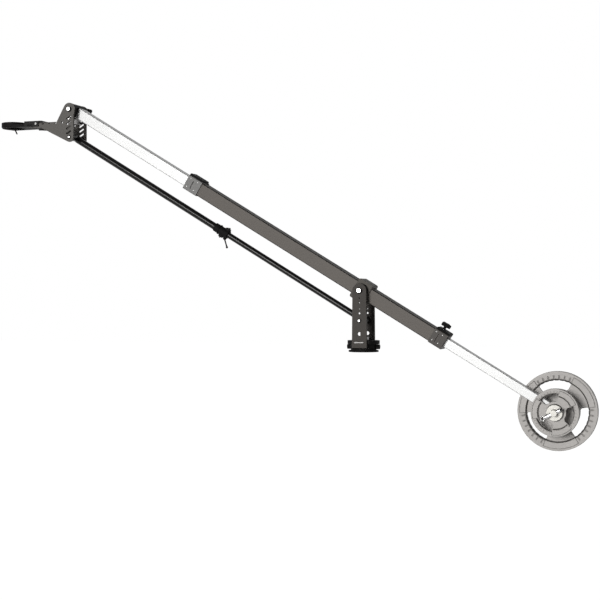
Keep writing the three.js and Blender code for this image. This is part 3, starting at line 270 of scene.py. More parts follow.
def rounded(corners, radius, closed=True, steps=4):
    """The outline with its corners turned into arcs. Gentle bends are left as they are."""
    points = [Vector(corner) for corner in corners]
    least_turn = math.radians(20)
    result = []
    for i, here in enumerate(points):
        end = not closed and i in (0, len(points) - 1)
        back = points[i - 1] - here
        on = points[(i + 1) % len(points)] - here
        half = 0 if end else back.angle(on, 0) / 2
        turn = math.pi - half * 2
        if half < 1e-3 or turn < least_turn:
            result.append(here)
            continue
        reach = min(radius / math.tan(half), back.length * 0.48, on.length * 0.48)
        middle = (back.normalized() + on.normalized()).normalized()
        centre = here + middle * reach / math.cos(half)
        first = here + back.normalized() * reach - centre
        last = here + on.normalized() * reach - centre
        for k in range(steps + 1):
            share = k / steps
            arm = first * math.sin((1 - share) * turn) + last * math.sin(share * turn)
            result.append(centre + arm / math.sin(turn))
    return result


def oblong(left, right, low, high):
    """Four corners, for an outline or for a profile of (radius, station)."""
    return [(left, low), (right, low), (right, high), (left, high)]


def facing(side, profile):
    """The profile with its stations on one side of the middle."""
    return [(radius, side * station) for radius, station in profile]


def doubled(half):
    """A whole profile from the half of it on the far side of the middle."""
    return facing(-1, half) + half[::-1]


def as_mesh(work):
    """The bmesh as a plain mesh with merged points and its faces outward."""
    bmesh.ops.remove_doubles(work, verts=work.verts, dist=1e-5)
    bmesh.ops.recalc_face_normals(work, faces=work.faces)
    made = bpy.data.meshes.new("shape")
    work.to_mesh(made)
    work.free()
    return made


def stood(flat, station, axis):
    """A point of the plane across an axis, moved along the axis to a station."""
    local = (*flat, station)
    return Vector([local[n] for n in {"x": (2, 0, 1), "y": (0, 2, 1), "z": (0, 1, 2)}[axis]])


def turned(profile, axis="z", edge=0.0, steps=96, start=0, sweep=360, centre=(0, 0, 0)):
    """A body turned about an axis from a profile of (radius, station), with eased edges."""
    solid_core = profile[0][0] == 0 and profile[-1][0] == 0
    points = rounded(profile, edge, closed=not solid_core) if edge else profile
    whole = sweep == 360
    turns = round(steps * sweep / 360)
    columns = turns if whole else turns + 1
    work = bmesh.new()

    def spot(radius, station, angle):
        flat = (radius * math.cos(angle), radius * math.sin(angle))
        return work.verts.new(stood(flat, station, axis) + Vector(centre))

    cores = {i: spot(0, point[1], 0) for i, point in enumerate(points) if abs(point[0]) < 1e-9}
    grid = []
    for k in range(columns):
        angle = math.radians(start + sweep * k / turns)
        grid.append([cores.get(i) or spot(*point, angle) for i, point in enumerate(points)])
    rows = len(points) - 1 if solid_core else len(points)
    for k in range(turns):
        this, after = grid[k], grid[(k + 1) % columns]
        for i in range(rows):
            j = (i + 1) % len(points)
            corners = [this[i], this[j], after[j], after[i]]
            face = [v for n, v in enumerate(corners) if v not in corners[:n]]
            if len(face) > 2:
                work.faces.new(face)
    if not whole:
        work.faces.new(grid[0])
        work.faces.new(grid[-1])
    return as_mesh(work)


def evaluated(mesh, kind, inputs=None, **settings):
    """The mesh after a modifier, as a plain mesh."""
    holder = linked("holder", mesh)
    modifier = holder.modifiers.new(kind, kind)
    for name, value in settings.items():
        setattr(modifier, name, value)
    for identifier, value in (inputs or {}).items():
        modifier[identifier] = value
    view = bpy.context.evaluated_depsgraph_get()
    made = bpy.data.meshes.new_from_object(holder.evaluated_get(view), depsgraph=view)
    bpy.data.objects.remove(holder)
    return made


def paint(mesh, finish):
    """Gives the whole mesh one finish."""
    mesh.materials.clear()
    mesh.materials.append(finish)


def add_piece(name, mesh, place, finish, body, *nodes):
    """Puts a shape drawn in millimetres in its place and rides it on its body."""
    mesh.transform(place @ Matrix.Scale(mm, 4))
    paint(mesh, finish)
    mesh.shade_smooth()
    mesh.set_sharp_from_angle(angle=math.radians(34))
    mesh = evaluated(mesh, "WEIGHTED_NORMAL", keep_sharp=True, weight=50)
    mesh.name = name
    piece = linked(name, mesh)
    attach(piece, body)
    if nodes:
        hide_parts(*nodes)


black_turned = black_finish("black_turned", "z")
bolt_radius = 4.75
flange_profile = [
    (0, 22), (bolt_radius, 22), (bolt_radius, 0), (56, 0), (56, 6.5),
    (48, 6.5), (48, 12), (12, 12), (12, 57.3), (0, 57.3),
]
add_piece(
    "flange_and_spindle", turned(flange_profile, "z", 0.9, 128), base_frame, black_turned, "base",
    "base_flange",
)

# Pan bearing ring
# A flat steel thrust ring between the base step and the turntable, hidden in a recess.
steel, steel_shader, steel_place = new_finish("ground_steel", (0.62,) * 3, 0.3, 1.0)
(mottle(steel_place, 900, 2) * 0.2 + 0.2).into(steel_shader, "Roughness")


def refinish(finish, *nodes):
    """CAD nodes that stay in sight get their own finish."""
    for node in nodes:
        paint(frame["nodes"][node].data, finish)


refinish(steel, "pan_bearing_ring")

# Spindle nut
# A large hexagon nut with chamfered corners that holds the column down on its spindle.


def arc(centre, radius, start, end, steps):
    turns = [math.radians(start + (end - start) * k / steps) for k in range(steps + 1)]
    return [Vector(centre) + radius * Vector((math.cos(a), math.sin(a))) for a in turns]


def circle(radius, centre=(0, 0), steps=48):
    return arc(centre, radius, 0, 360, steps)[:-1]


def wound(outline, way):
    """The outline as vectors, in anticlockwise order if way is 1, else clockwise."""
    points = [Vector(point) for point in outline]
    area = sum(a.cross(b) for a, b in zip(points, [*points[1:], points[0]]))
    return points if area * way > 0 else points[::-1]


def sawn(outline, holes, low, high, edge, axis="y", arc_steps=2):
    """A slab of an outline with holes, its edges eased by a small radius."""
    loops = [wound(outline, 1), *[wound(hole, -1) for hole in holes]]
    levels = []
    for k in range(arc_steps + 1):
        turn = math.pi / 2 * k / arc_steps
        levels.append((edge * (1 - math.sin(turn)), low + edge * (1 - math.cos(turn))))
    levels += [(inset, low + high - station) for inset, station in reversed(levels)]
    work = bmesh.new()
    ends = [[], []]
    for loop in loops:
        count = len(loop)
        miters = []
        for i in range(count):
            before = (loop[i] - loop[i - 1]).normalized()
            after = (loop[(i + 1) % count] - loop[i]).normalized()
            inward = Vector((-before.y - after.y, before.x + after.x))
            miters.append(inward.normalized() / max(0.3, inward.length / 2))
        grid = []
        for inset, station in levels:
            flats = [point + miter * inset for point, miter in zip(loop, miters)]
            grid.append([work.verts.new(stood(flat, station, axis)) for flat in flats])
        for row, above in zip(grid, grid[1:]):
            for i in range(count):
                j = (i + 1) % count
                work.faces.new([row[i], row[j], above[j], above[i]])
        for end, row in zip(ends, (grid[0], grid[-1])):
            end += [work.edges.get((row[i], row[(i + 1) % count])) for i in range(count)]
    for end in ends:
        bmesh.ops.triangle_fill(work, edges=end, use_beauty=True)
    return as_mesh(work)


spindle_hole = circle(12.3)
hex_nut = sawn(circle(20, steps=6), [spindle_hole], 43.3, 55.3, 0.9, "z")
add_piece("spindle_hex_nut", hex_nut, base_frame, steel, "base", "pan_spindle_nut")

# Turntable
# A turned disc that carries the column round on the thrust ring, black anodised like the base.
turntable_profile = [(12.3, 15.6), (42.3, 15.6), (42.3, 12.6), (49, 12.6), (49, 28.7), (12.3, 28.7)]
turntable = turned(turntable_profile, "z", 1.1, 128)
add_piece("turntable_disc", turntable, base_frame, black_turned, "column", "turntable")

# Column foot
# A round plate milled flat on two sides for the column's side plates. A tongue on each flat goes
# through a slot in its plate, and shows on the outside as a bare milled end.


def joined(*meshes):
    """Several closed shapes as one mesh."""
    work = bmesh.new()
    for mesh in meshes:
        work.from_mesh(mesh)
    return as_mesh(work)


def block(low, high, edge):
    """A squared block between two corners with eased edges."""
    outline = rounded(oblong(low[0], high[0], low[2], high[2]), edge, steps=2)
    return sawn(outline, [], low[1], high[1], edge, "y")


def span(side, inner, outer):
    """From inner to outer on one side of the middle, lower station first."""
    return sorted((side * inner, side * outer))


foot_radius = 60
foot_half = math.degrees(math.asin(50.2 / foot_radius))
foot_outline = arc((0, 0), foot_radius, -foot_half, foot_half, 32)
foot_outline += arc((0, 0), foot_radius, 180 - foot_half, 180 + foot_half, 32)
foot = sawn(foot_outline, [spindle_hole], 29, 43, 1.0, "z")
add_piece("column_foot_plate", foot, base_frame, black_turned, "column", "column_foot")
milled, milled_shader, milled_place = new_finish(
    "milled_aluminium", (0.4, 0.39, 0.38), 0.55, 0.2
)
milled_lines = mottle(milled_place.mapped(Scale=(60, 900, 900)), 1.0)
(milled_lines * 0.2 + 0.4).into(milled_shader, "Roughness")
tint(milled_shader, milled_lines, (0.34, 0.33, 0.32), (0.46, 0.45, 0.44))
relief(milled_shader, milled_lines, 0.00003, 0.5)
for label, side in near_and_far:
    near, far = span(side, 49.5, 58.2)
    tongue = block((-20, near, 33.8), (16, far, 38.2), 0.5)
    add_piece("foot_tongue_" + label, tongue, base_frame, milled, "column")

# Column side plates
# Two 8 mm plates with a round top, taper sides and a row of holes. They are sawn from sheet and
# powder coated dark grey, with a fine pebbled skin that turns brownish grey in a low light.


def powder_coat(name, colour, roughness, grain=1500, metallic=0.15, shade_of=None):
    """Baked paint: a fine pebbled skin with slight patches, coloured dark as painted shade where
    shade_of gives 1.
    """
    finish, shader, place = new_finish(name, colour, roughness, metallic, 0.2)
    pebbles = mottle(place, grain, 2)
    patches = mottle(place, 14, 4)
    shade = shade_of(place) if shade_of else None
    tint(shader, patches, [c * 0.86 for c in colour], [c * 1.14 for c in colour], shade)
    (pebbles * 0.12 + patches * 0.1 + (roughness - 0.11)).into(shader, "Roughness")
    relief(shader, pebbles, 0.00004, 0.2)
    return finish


column_coat = powder_coat("dark_grey_coat", (0.057, 0.051, 0.046), 0.6)
pivot_height = 228
rod_pin_height = 116.5
column_plate = (50.5, 58.5)
column_outline = [(-28.5, 16), (28.5, 16), *arc((0, pivot_height), 26.5, 0, 180, 48)]
column_holes = [
    circle(10, (0, pivot_height)),
    circle(5.3, (0, rod_pin_height), 32),
    *[
        circle(diameter / 2, (0, pivot_height - drop), 24)
        for drop, diameter in ((28, 4.6), (44, 5.4), (68, 3.6), (84, 7.6), (160, 14))
    ],
    rounded(oblong(-20.3, 16.3, 33.5, 38.5), 0.6, steps=2),
]
for label, side in near_and_far:
    plate = sawn(rounded(column_outline, 1.5), column_holes, *span(side, *column_plate), 0.7)
    add_piece(
        "column_side_" + label, plate, base_frame, column_coat, "column", "column_plate_" + label
    )

# Tilt bushes
# Plain bronze bushes pressed into the side plates for the tilt axle. Only their edges show.


def bronze_finish(name, centre):
    return turned_finish(name, (0.4, 0.25, 0.1), 0.38, 0.9, 0.5, "y", centre)


refinish(bronze_finish("bearing_bronze", boom_pivot), "tilt_bush_front", "tilt_bush_rear")

# Pan lock and pan drag knobs
# Two small fluted knobs moulded in black plastic, screwed into the sides of the turntable. Each
# has a round cap pressed into its outer face.
plastic, plastic_shader, plastic_place = new_finish(
    "moulded_black_plastic", (0.008, 0.008, 0.008), 0.65, 0.0, 0.09
)
plastic_grain = mottle(plastic_place, 2200, 2)
plastic_cloud = mottle(plastic_place, 60, 2)
(plastic_grain * 0.12 + plastic_cloud * 0.12 + 0.53).into(plastic_shader, "Roughness")
tint(plastic_shader, plastic_cloud, (0.006, 0.006, 0.006), (0.01, 0.0097, 0.0097))
relief(plastic_shader, plastic_grain, 0.00005, 0.4)


def lobed(radius, lobes, depth, steps):
    """A knob's outline, which dips by depth between its lobes."""
    result = []
    for k in range(lobes * steps):
        turn = 2 * math.pi * k / (lobes * steps)
        reach = radius - depth * (1 - math.cos(lobes * turn)) / 2
        result.append(Vector((reach * math.cos(turn), reach * math.sin(turn))))
    return result


for knob_name, side in (("pan_lock_knob", -1), ("pan_drag_knob", 1)):
    grip = sawn(lobed(9, 12, 1.2, 8), [circle(5.2)], *span(side, 49.3, 62.8), 1.0, "x", 3)
    cap = turned(oblong(0, 5.1, *span(side, 49.9, 62.3)), "x", 0.7, 48)
    knob = joined(grip, cap)
    knob.transform(Matrix.Translation((0, 0, 19.3)))
    add_piece(knob_name + "_grip", knob, base_frame, plastic, knob_name, knob_name)

# Rod pins
# Turned steel pins that the levelling rod's eyes swing on, one in the column and one in the head.
# Each end has a blackened collar round the polished end of the pin.


def clouded(name, colour, roughness, metallic, scale, gloss, low, high):
    """A bare surface with a slightly uneven colour and gloss."""
    finish, shader, place = new_finish(name, colour, roughness, metallic)
    cloud = mottle(place, scale)
    (cloud * gloss[0] + gloss[1]).into(shader, "Roughness")
    tint(shader, cloud, low, high)
    return finish


polished = clouded(
    "polished_steel", (0.6, 0.6, 0.59), 0.26, 1.0,
    120, (0.16, 0.2), (0.54, 0.54, 0.53), (0.66, 0.66, 0.65),
)
blackened = powder_coat("blackened_steel", (0.012, 0.012, 0.012), 0.6, 1800, 0.1)


def rod_pin(name, outer, place, body, node):
    """A pin across two plates, with a collar outside each."""
    seat = outer + 0.3
    end = seat + 2.5
    profile = doubled([(0, end), (3.9, end), (3.9, seat + 1.2), (5, seat + 1.2)])
    add_piece(name, turned(profile, "y", 0.4, 64), place, polished, body, node)
    collars = [turned(oblong(4.3, 7.5, *span(side, seat, end)), "y", 0.5, 64) for side in (-1, 1)]
    add_piece(name + "_collars", joined(*collars), place, blackened, body)


column_pin_place = Matrix.Translation((0, 0, rod_pin_height * mm))
rod_pin("column_pin", column_plate[1], column_pin_place, "column", "column_rod_pin")

# Tilt axle
# Two steel stubs that carry the boom between the side plates. Each has a chamfered black cap
# outside its plate with a bright turned face.
cap_dark = powder_coat("cap_black", (0.012, 0.0115, 0.011), 0.6, 1800, 0.1)


def capped_axle(name, sides, seat, length, shafts, place, body, *nodes):
    """Caps outside the plates with a bright face, and the axle between them."""
    end = seat + length
    cap = [
        (0, seat), (10.5, seat), (10.5, end - 2.2),
        (8.6, end - 0.3), (8.2, end - 0.7), (0, end - 0.7),
    ]
    face = oblong(0, 8, end - 1.5, end)
    for side in sides:
        label = name + ("_front" if side < 0 else "_rear")
        add_piece(label + "_cap", turned(facing(side, cap), "y", 0.2), place, cap_dark, body)
        add_piece(label + "_face", turned(facing(side, face), "y", 0.5), place, polished, body)
    shaft = joined(*[turned(oblong(0, 8, *ends), "y", 0.3, 64) for ends in shafts])
    add_piece(name + "_shaft", shaft, place, steel, body, *nodes)


capped_axle(
    "tilt_axle", (-1, 1), 58.8, 9.5, ((-59, -32.5), (32.5, 59)), boom_frame, "boom",
    "tilt_axle_front", "tilt_axle_rear",
)

# Tilt hubs
# Turned black spacers on the axle that keep the boom central between the side plates.
black_across = black_finish("black_turned_across", "y", boom_pivot)
for label, side in near_and_far:
    hub = turned(oblong(8.3, 27, *span(side, 38.6, 50.2)), "y", 1.0)
    add_piece("hub_" + label, hub, boom_frame, black_across, "boom", "tilt_hub_" + label)

# Saddle
# A milled U that straddles the boom's outer tube and holds it to the axle, coated warm grey.


def cut_away(mesh, *tools):
    """The shape with each tool's shape taken out of it."""
    for tool in tools:
        cutter = linked("cutter", tool)
        mesh = evaluated(mesh, "BOOLEAN", operation="DIFFERENCE", solver="EXACT", object=cutter)
        bpy.data.objects.remove(cutter)
    return mesh


saddle_coat = powder_coat("saddle_grey_coat", (0.096, 0.088, 0.078), 0.6)
saddle_outline = rounded(oblong(-29, 32, -40, 38.1), 7, steps=8)
saddle_mouth = block((-31, -32.3, -45), (34, 32.3, 26.6), 0.5)
saddle_body = cut_away(sawn(saddle_outline, [], -38.3, 38.3, 1.0), saddle_mouth)
add_piece("saddle_bracket", saddle_body, boom_frame, saddle_coat, "boom", "saddle")

# Outer tube of the boom
# A drawn rectangular aluminium tube, powder coated grey. The sliding tubes run in both its ends.


def new_tree(name, **inputs):
    """A geometry tree with inputs named by kind, as wires by name, and its output node."""
    tree = bpy.data.node_groups.new(name, "GeometryNodeTree")
    for kind, labels in {"Geometry": "Geometry", **inputs, "Material": "Material"}.items():
        for label in labels.split():
            tree.interface.new_socket(label, in_out="INPUT", socket_type="NodeSocket" + kind)
    tree.interface.new_socket("Geometry", in_out="OUTPUT", socket_type="NodeSocketGeometry")
    source = tree.nodes.new("NodeGroupInput")
    wires = {socket.name: Wire(tree, socket) for socket in source.outputs if socket.name}
    return tree, wires, tree.nodes.new("NodeGroupOutput")


def close_tree(made, wires, output):
    """Makes a tree's instances real, gives them the material and puts them out."""
    real = made.node("GeometryNodeRealizeInstances", {"Geometry": made})
    sockets = {"Geometry": real, "Material": wires["Material"]}
    made.node("GeometryNodeSetMaterial", sockets).into(output, 0)


def grown(mesh, tree, **values):
    """What a geometry tree makes of a mesh, as a plain mesh."""
    inputs = [item for item in tree.interface.items_tree if item.in_out == "INPUT"]
    given = {item.identifier: values[item.name] for item in inputs if item.name in values}
    return evaluated(mesh, "NODES", given, node_group=tree)


def section(width, height, corner):
    """A rectangle with round corners, as a curve."""
    flat = width.node("GeometryNodeCurvePrimitiveQuadrilateral", {"Width": width, "Height": height})
    sockets = {"Curve": flat, "Count": 6, "Radius": corner, "Limit Radius": True}
    return flat.node("GeometryNodeFilletCurve", sockets, mode="POLY")


def gathered(first, second):
    """Two geometries of a tree as one."""
    join = first.tree.nodes.new("GeometryNodeJoinGeometry")
    first.into(join, 0)
    second.into(join, 0)
    return Wire(first.tree, join.outputs[0])


drawn_tube, wire, tube_out = new_tree("Drawn tube", Float="Width Height Corner Wall Start Length")
tube_walls = wire["Wall"] * 2
tube_inside = section(
    wire["Width"] - tube_walls,
    wire["Height"] - tube_walls,
    (wire["Corner"] - wire["Wall"]).at_least(wire["Corner"] * 0.25),
)
tube_ends = gathered(section(wire["Width"], wire["Height"], wire["Corner"]), tube_inside)
tube_face = tube_ends.node("GeometryNodeFillCurve", {"Curve": tube_ends})
tube_long = tube_face.node(
    "GeometryNodeExtrudeMesh",
    {"Mesh": tube_face, "Offset Scale": wire["Length"], "Individual": False},
)
tube_shut = gathered(tube_long, tube_face.node("GeometryNodeFlipFaces", {"Mesh": tube_face}))
tube_whole = tube_face.node("GeometryNodeMergeByDistance", {"Geometry": tube_shut})
tube_laid = tube_face.node(
    "GeometryNodeTransform",
    {
        "Geometry": tube_whole,
        "Translation": tube_face.node("ShaderNodeCombineXYZ", {"X": wire["Start"]}),
        "Rotation": (math.pi / 2, 0, math.pi / 2),
    },
)
close_tree(tube_laid, wire, tube_out)


def tube(width, height, corner, wall, start, end, finish):
    """A drawn tube along X, with its points merged and its faces outward."""
    return joined(grown(
        bpy.data.meshes.new("none"), drawn_tube, Width=width, Height=height, Corner=corner,
        Wall=wall, Start=float(start), Length=float(end - start), Material=finish,
    ))


def in_boom(place):
    """Object coordinates turned and moved into the boom's frame."""
    start = boom_slope.inverted() @ -boom_pivot
    return place.mapped(Rotation=(0, -boom_tilt, 0), Location=start)


def painted_corner_shade(place):
    """Painted shade: the tube's rounded corners and its top and bottom are coloured darker."""
    boom_place = in_boom(place)
    flats = beyond(boom_place, "z", 0.0226, 0.0016)
    return (beyond(boom_place, "y", 0.028, 0.0014) * 0.42 + 0.55) * flats


tube_coat = powder_coat(
    "tube_grey_coat", (0.143, 0.13, 0.118), 0.62, shade_of=painted_corner_shade
)
outer_tube = tube(64.0, 52.6, 3.5, 3.0, -812, 362, tube_coat)
add_piece("outer_boom_tube", outer_tube, boom_frame, tube_coat, "boom", "outer_tube")

# Clamp blocks
# A machined sleeve over each end of the outer tube, split by a curved saw cut on both sides. Four
# cap screws a side hold it, and its star knob pinches it on the sliding tube.


def rectangle(half_width, half_height, corner):
    return rounded(oblong(-half_width, half_width, -half_height, half_height), corner, steps=6)


def painted_inside_shade(low, high):
    """The inside of a clamp block between two stations, coloured dark as painted shade."""

    def shade_of(place):
        centred = in_boom(place).vector("SUBTRACT", ((low + high) / 2 * mm, 0, 0))
        outside = beyond(centred, "x", (high - low) / 2 * mm - 0.0012, 0.0006)
        outside = outside.at_least(beyond(centred, "y", 0.0346, 0.0006))
        return 1 - outside.at_least(beyond(centred, "z", 0.0279, 0.0006))

    return shade_of


def clamp_block(label, low, high, seat_ends, slide, slit_at, colour):
    """A clamp block round the tube's end; the slit's centre of curvature is toward the weights."""
    coat = powder_coat(
        label + "_clamp_coat", colour, 0.5, shade_of=painted_inside_shade(low, high)
    )
    outside = sawn(rectangle(36, 29.3, 3.5), [], low, high, 0.8, "x")
    seat = sawn(rectangle(32.3, 26.6, 3.5), [], *seat_ends, 0.1, "x")
    mouth = sawn(rectangle(*slide), [], low - 7, high + 7, 0.1, "x")
    bend = 90
    sweep = math.degrees(33 / bend / 2)
    middle = (slit_at + bend, 0)
    slit = arc(middle, bend + 1.5, 180 - sweep, 180 + sweep, 14)
    slit += arc(middle, bend - 1.5, 180 + sweep, 180 - sweep, 14)
    sleeve = cut_away(outside, seat, mouth, sawn(slit, [], -40, 40, 0.01))
    add_piece(label + "_clamp_sleeve", sleeve, boom_frame, coat, "boom", label + "_clamp_block")


front_block = (-825, -761)
rear_block = (312, 367)
clamp_block("front", *front_block, (-812.3, -756), (26.3, 21.05, 3), -797, (0.178, 0.175, 0.17))
clamp_block("rear", *rear_block, (307, 362.3), (21.3, 17.5, 2.8), 333.5, (0.066, 0.06, 0.055))

screw_grid, wire, grid_out = new_tree("Screws in a grid", Int="Columns Rows", Float="Pitch Rise")


def copied_along(instance, count, axis, step):
    """Copies of a geometry in a straight line."""
    offset = instance.node("ShaderNodeCombineXYZ", {axis: step})
    line = instance.node("GeometryNodeMeshLine", {"Count": count, "Offset": offset}, mode="OFFSET")
    sockets = {"Points": line, "Instance": instance}
    return instance.node("GeometryNodeInstanceOnPoints", sockets)


grid_row = copied_along(wire["Geometry"], wire["Columns"], "X", wire["Pitch"])
close_tree(copied_along(grid_row, wire["Rows"], "Z", wire["Rise"]), wire, grid_out)


def screw_head(radius, height, socket):
    """A round screw head along +Y from the origin with a hexagon socket."""
    head = sawn(circle(radius, steps=32), [circle(socket, steps=6)], 0, height, 0.3)
    return joined(head, turned(oblong(0, radius * 0.8, 0, height * 0.45), "y"))


def both_sides(mesh, half_width, x, z):
    """One copy on the far side at (x, z), facing +Y, and one on the near side, facing -Y."""
    far = mesh.copy()
    far.transform(Matrix.Translation((x, half_width, z)))
    near = mesh.copy()
    near.transform(Matrix.Translation((x, -half_width, z)) @ Matrix.Rotation(math.pi, 4, "Z"))
    return joined(far, near)


zinc = clouded(
    "zinc_plated_steel", (0.4, 0.4, 0.39), 0.5, 0.7,
    160, (0.2, 0.38), (0.34, 0.34, 0.33), (0.46, 0.46, 0.45),
)
for label, first_x, pitch in (("front", -812.5, 34.0), ("rear", 321.7, 26.0)):
    pair = both_sides(screw_head(2.1, 1.2, 1.15), 35.6, first_x, -14.5)
    screws = grown(pair, screw_grid, Columns=2, Pitch=pitch, Rows=2, Rise=33.9, Material=zinc)
    add_piece(label + "_clamp_screws", screws, boom_frame, zinc, "boom")

# Clamp caps
# Moulded black plates on top of the clamp blocks, with sloped ends and a short lip over the face.


def clamp_cap(label, face_end, outward, length):
    """The cap's side view, drawn across the block."""
    under = 29.6
    top = 36.6
    face = face_end + outward * 2.3
    inner = face_end - outward * (length - 1.5)
    lip = face_end + outward * 0.3
    outline = [
        (face, under - 4), (lip, under - 4), (lip, under), (inner, under), (inner, top - 2.5),
        (inner + outward * 2.5, top), (face - outward * 2.5, top), (face, top - 2.5),
    ]
    cap = sawn(rounded(outline, 0.5, steps=2), [], -26, 26, 0.8)
    add_piece(label + "_cap", cap, boom_frame, plastic, "boom", label + "_clamp_cap")


clamp_cap("front", front_block[0], -1, 64)
clamp_cap("rear", rear_block[1], 1, 55)

# Clamp star knobs
# Five-lobed knobs moulded in black plastic on a bright stud. The front one points away behind the
# boom and the rear one stands on top.


def star_knob(diameter, height, neck, neck_height, base, bore=0):
    """A star knob along +Z with its neck at base, rounded all over."""
    foot = base + neck_height
    outline = lobed(diameter / 2, 5, diameter * 0.16, 18)
    holes = [circle(bore, steps=32)] if bore else []
    star = sawn(outline, holes, foot, foot + height, height * 0.2, "z", 6)
    return joined(star, turned(oblong(bore, neck / 2, base, foot + 2), "z", 0.6, 64))


away = Matrix.Rotation(-math.pi / 2, 4, "X")
for knob_name, turn, seat, tip in (
    ("front_clamp_knob", Matrix.Translation((-0.793, 0, 0)) @ away, 36.6, 26.4),
    ("rear_clamp_knob", Matrix.Translation((0.334, 0, 0)), 37.2, 17.6),
):
    knob_place = boom_frame @ turn
    star = star_knob(38, 14, 11, 9, seat)
    add_piece(knob_name + "_star", star, knob_place, plastic, knob_name, knob_name)
    stud = turned(oblong(0, 4, tip, seat + 1), "z", 0.4, 48)
    add_piece(knob_name + "_stud", stud, knob_place, polished, knob_name)

# Sliding tubes
# Two drawn aluminium tubes, clear anodised, that slide out of the ends of the outer tube. Fine
# lines from the drawing run along them.


def lines_along_boom(place, scale, detail):
    """Noise drawn out along the boom."""
    return mottle(place.mapped(Rotation=(0, -boom_tilt, 0)).mapped(Scale=scale), 1.0, detail)


silver, silver_shader, silver_place = new_finish(
    "clear_anodised_tube", (0.44, 0.44, 0.436), 0.42, 0.5
)
draw_lines = lines_along_boom(silver_place, (3, 700, 700), 3)
silver_cloud = mottle(silver_place, 8)
silver_mask = draw_lines * 0.6 + silver_cloud * 0.4
(draw_lines * 0.04 + silver_cloud * 0.05 + 0.4).into(silver_shader, "Roughness")
tint(silver_shader, silver_mask, (0.445, 0.445, 0.441), (0.475, 0.475, 0.471))
relief(silver_shader, draw_lines, 0.00001, 0.08)
front_tube = tube(52.0, 41.5, 3.0, 2.5, -1384, -665, silver)
add_piece("front_sliding_tube", front_tube, boom_frame, silver, "front_stage", "front_tube")
bar_hole = turned(oblong(0, 12.8, -40, 40), "y", centre=(832, 0, -2.6))
rear_tube = cut_away(tube(42.0, 34.4, 2.8, 2.5, 245, 856, silver), bar_hole)
add_piece("rear_sliding_tube", rear_tube, boom_frame, silver, "rear_stage", "rear_tube")

# Guides and glides
# Nylon sleeves between the tubes: two fixed in the outer tube's ends, two on the sliding tubes.
nylon = clouded(
    "white_nylon", (0.72, 0.71, 0.67), 0.55, 0.0,
    90, (0.16, 0.46), (0.66, 0.65, 0.61), (0.77, 0.76, 0.72),
)
refinish(nylon, "front_guide_sleeve", "rear_guide_sleeve", "front_tube_glide", "rear_tube_glide")

# Boom's end fitting
# A turned black barrel across the end of the front tube, with a shouldered plug that goes into
# the tube. Bronze bushes with flanges sit in both its ends for the head's axle.
barrel_reach = 1409
barrel_at = (-barrel_reach, 0, 0)
fitting = joined(
    turned(oblong(11.3, 24.5, -44, 44), "y", 1.2, centre=barrel_at),
    sawn(rectangle(26, 20.75, 3), [], -1400.3, -1384.3, 0.3, "x"),
    sawn(rectangle(23.2, 17.95, 1), [], -1390, -1324, 0.8, "x"),
)
black_head = black_finish("black_turned_barrel", "y", head_pivot)
add_piece("end_barrel", fitting, boom_frame, black_head, "front_stage", "boom_end_fitting")
head_bronze = bronze_finish("head_bronze", head_pivot)
bush_profile = [(8.3, 26), (11, 26), (11, 44.3), (17, 44.3), (17, 47.3), (8.3, 47.3)]
for label, side in near_and_far:
    bush = turned(facing(side, bush_profile), "y", 0.4, 64, centre=barrel_at)
    add_piece(
        "head_flange_bush_" + label, bush, boom_frame, head_bronze, "front_stage",
        "head_bush_" + label,
    )

# Head plates
# Two sawn plates with a lobe at the pivot, a lobe at the rod's pin and an arm for the platform.
# Slanted slots and a row of holes go through each, and both are coated grey.
head_coat = powder_coat("head_grey_coat", (0.118, 0.112, 0.104), 0.6)
rod_pin_drop = 111.5
head_plate = (47.6, 55.6)
platform_screw = (-148, -52.5)
tongue_slot = oblong(-188.3, -163.7, -58.9, -54.9)


def head_plate_outline():
    radius = 25.4
    knee = Vector((-57, -50))
    heel = Vector((-126, -70))
    lower = Vector((1, -rod_pin_drop))
    lower_radius = 19
    right = 20
    to_heel = heel - lower
    knee_turn = math.degrees(math.atan2(knee.y, knee.x)) + 360
    left = knee_turn - math.degrees(math.acos(radius / knee.length))
    right_start = -math.degrees(math.acos(right / radius)) / 2
    heel_turn = math.degrees(math.atan2(to_heel.y, to_heel.x))
    heel_start = heel_turn + math.degrees(math.acos(lower_radius / to_heel.length))
    return [
        (right, -29),
        *arc((0, 0), radius, right_start, left, 40),
        knee,
        (-199, -51),
        (-199, -64),
        heel,
        *arc(lower, lower_radius, heel_start, 360, 28),
        (right, lower.y + lower_radius),
    ]


def slanted_slot(x, z):
    """A slot with round ends, turned anticlockwise by 30 degrees."""
    points = arc((8.5, 0), 3.8, -90, 90, 12) + arc((-8.5, 0), 3.8, 90, 270, 12)
    lean = Matrix.Rotation(math.radians(30), 2)
    return [lean @ point + Vector((x, z)) for point in points]


head_holes = [
    circle(8.3),
    circle(5.3, (0, -rod_pin_drop), 32),
    *[circle(3.6, (-32 - 29 * i, platform_screw[1]), 24) for i in range(4)],
    circle(2.8, platform_screw, 24),
    *[slanted_slot(-1.8, -35 - 19.2 * i) for i in range(4)],
    rounded(tongue_slot, 0.5, steps=2),
]
for label, side in near_and_far:
    plate = sawn(rounded(head_plate_outline(), 2.5), head_holes, *span(side, *head_plate), 0.7)
    add_piece("head_side_" + label, plate, head_frame, head_coat, "head", "head_plate_" + label)

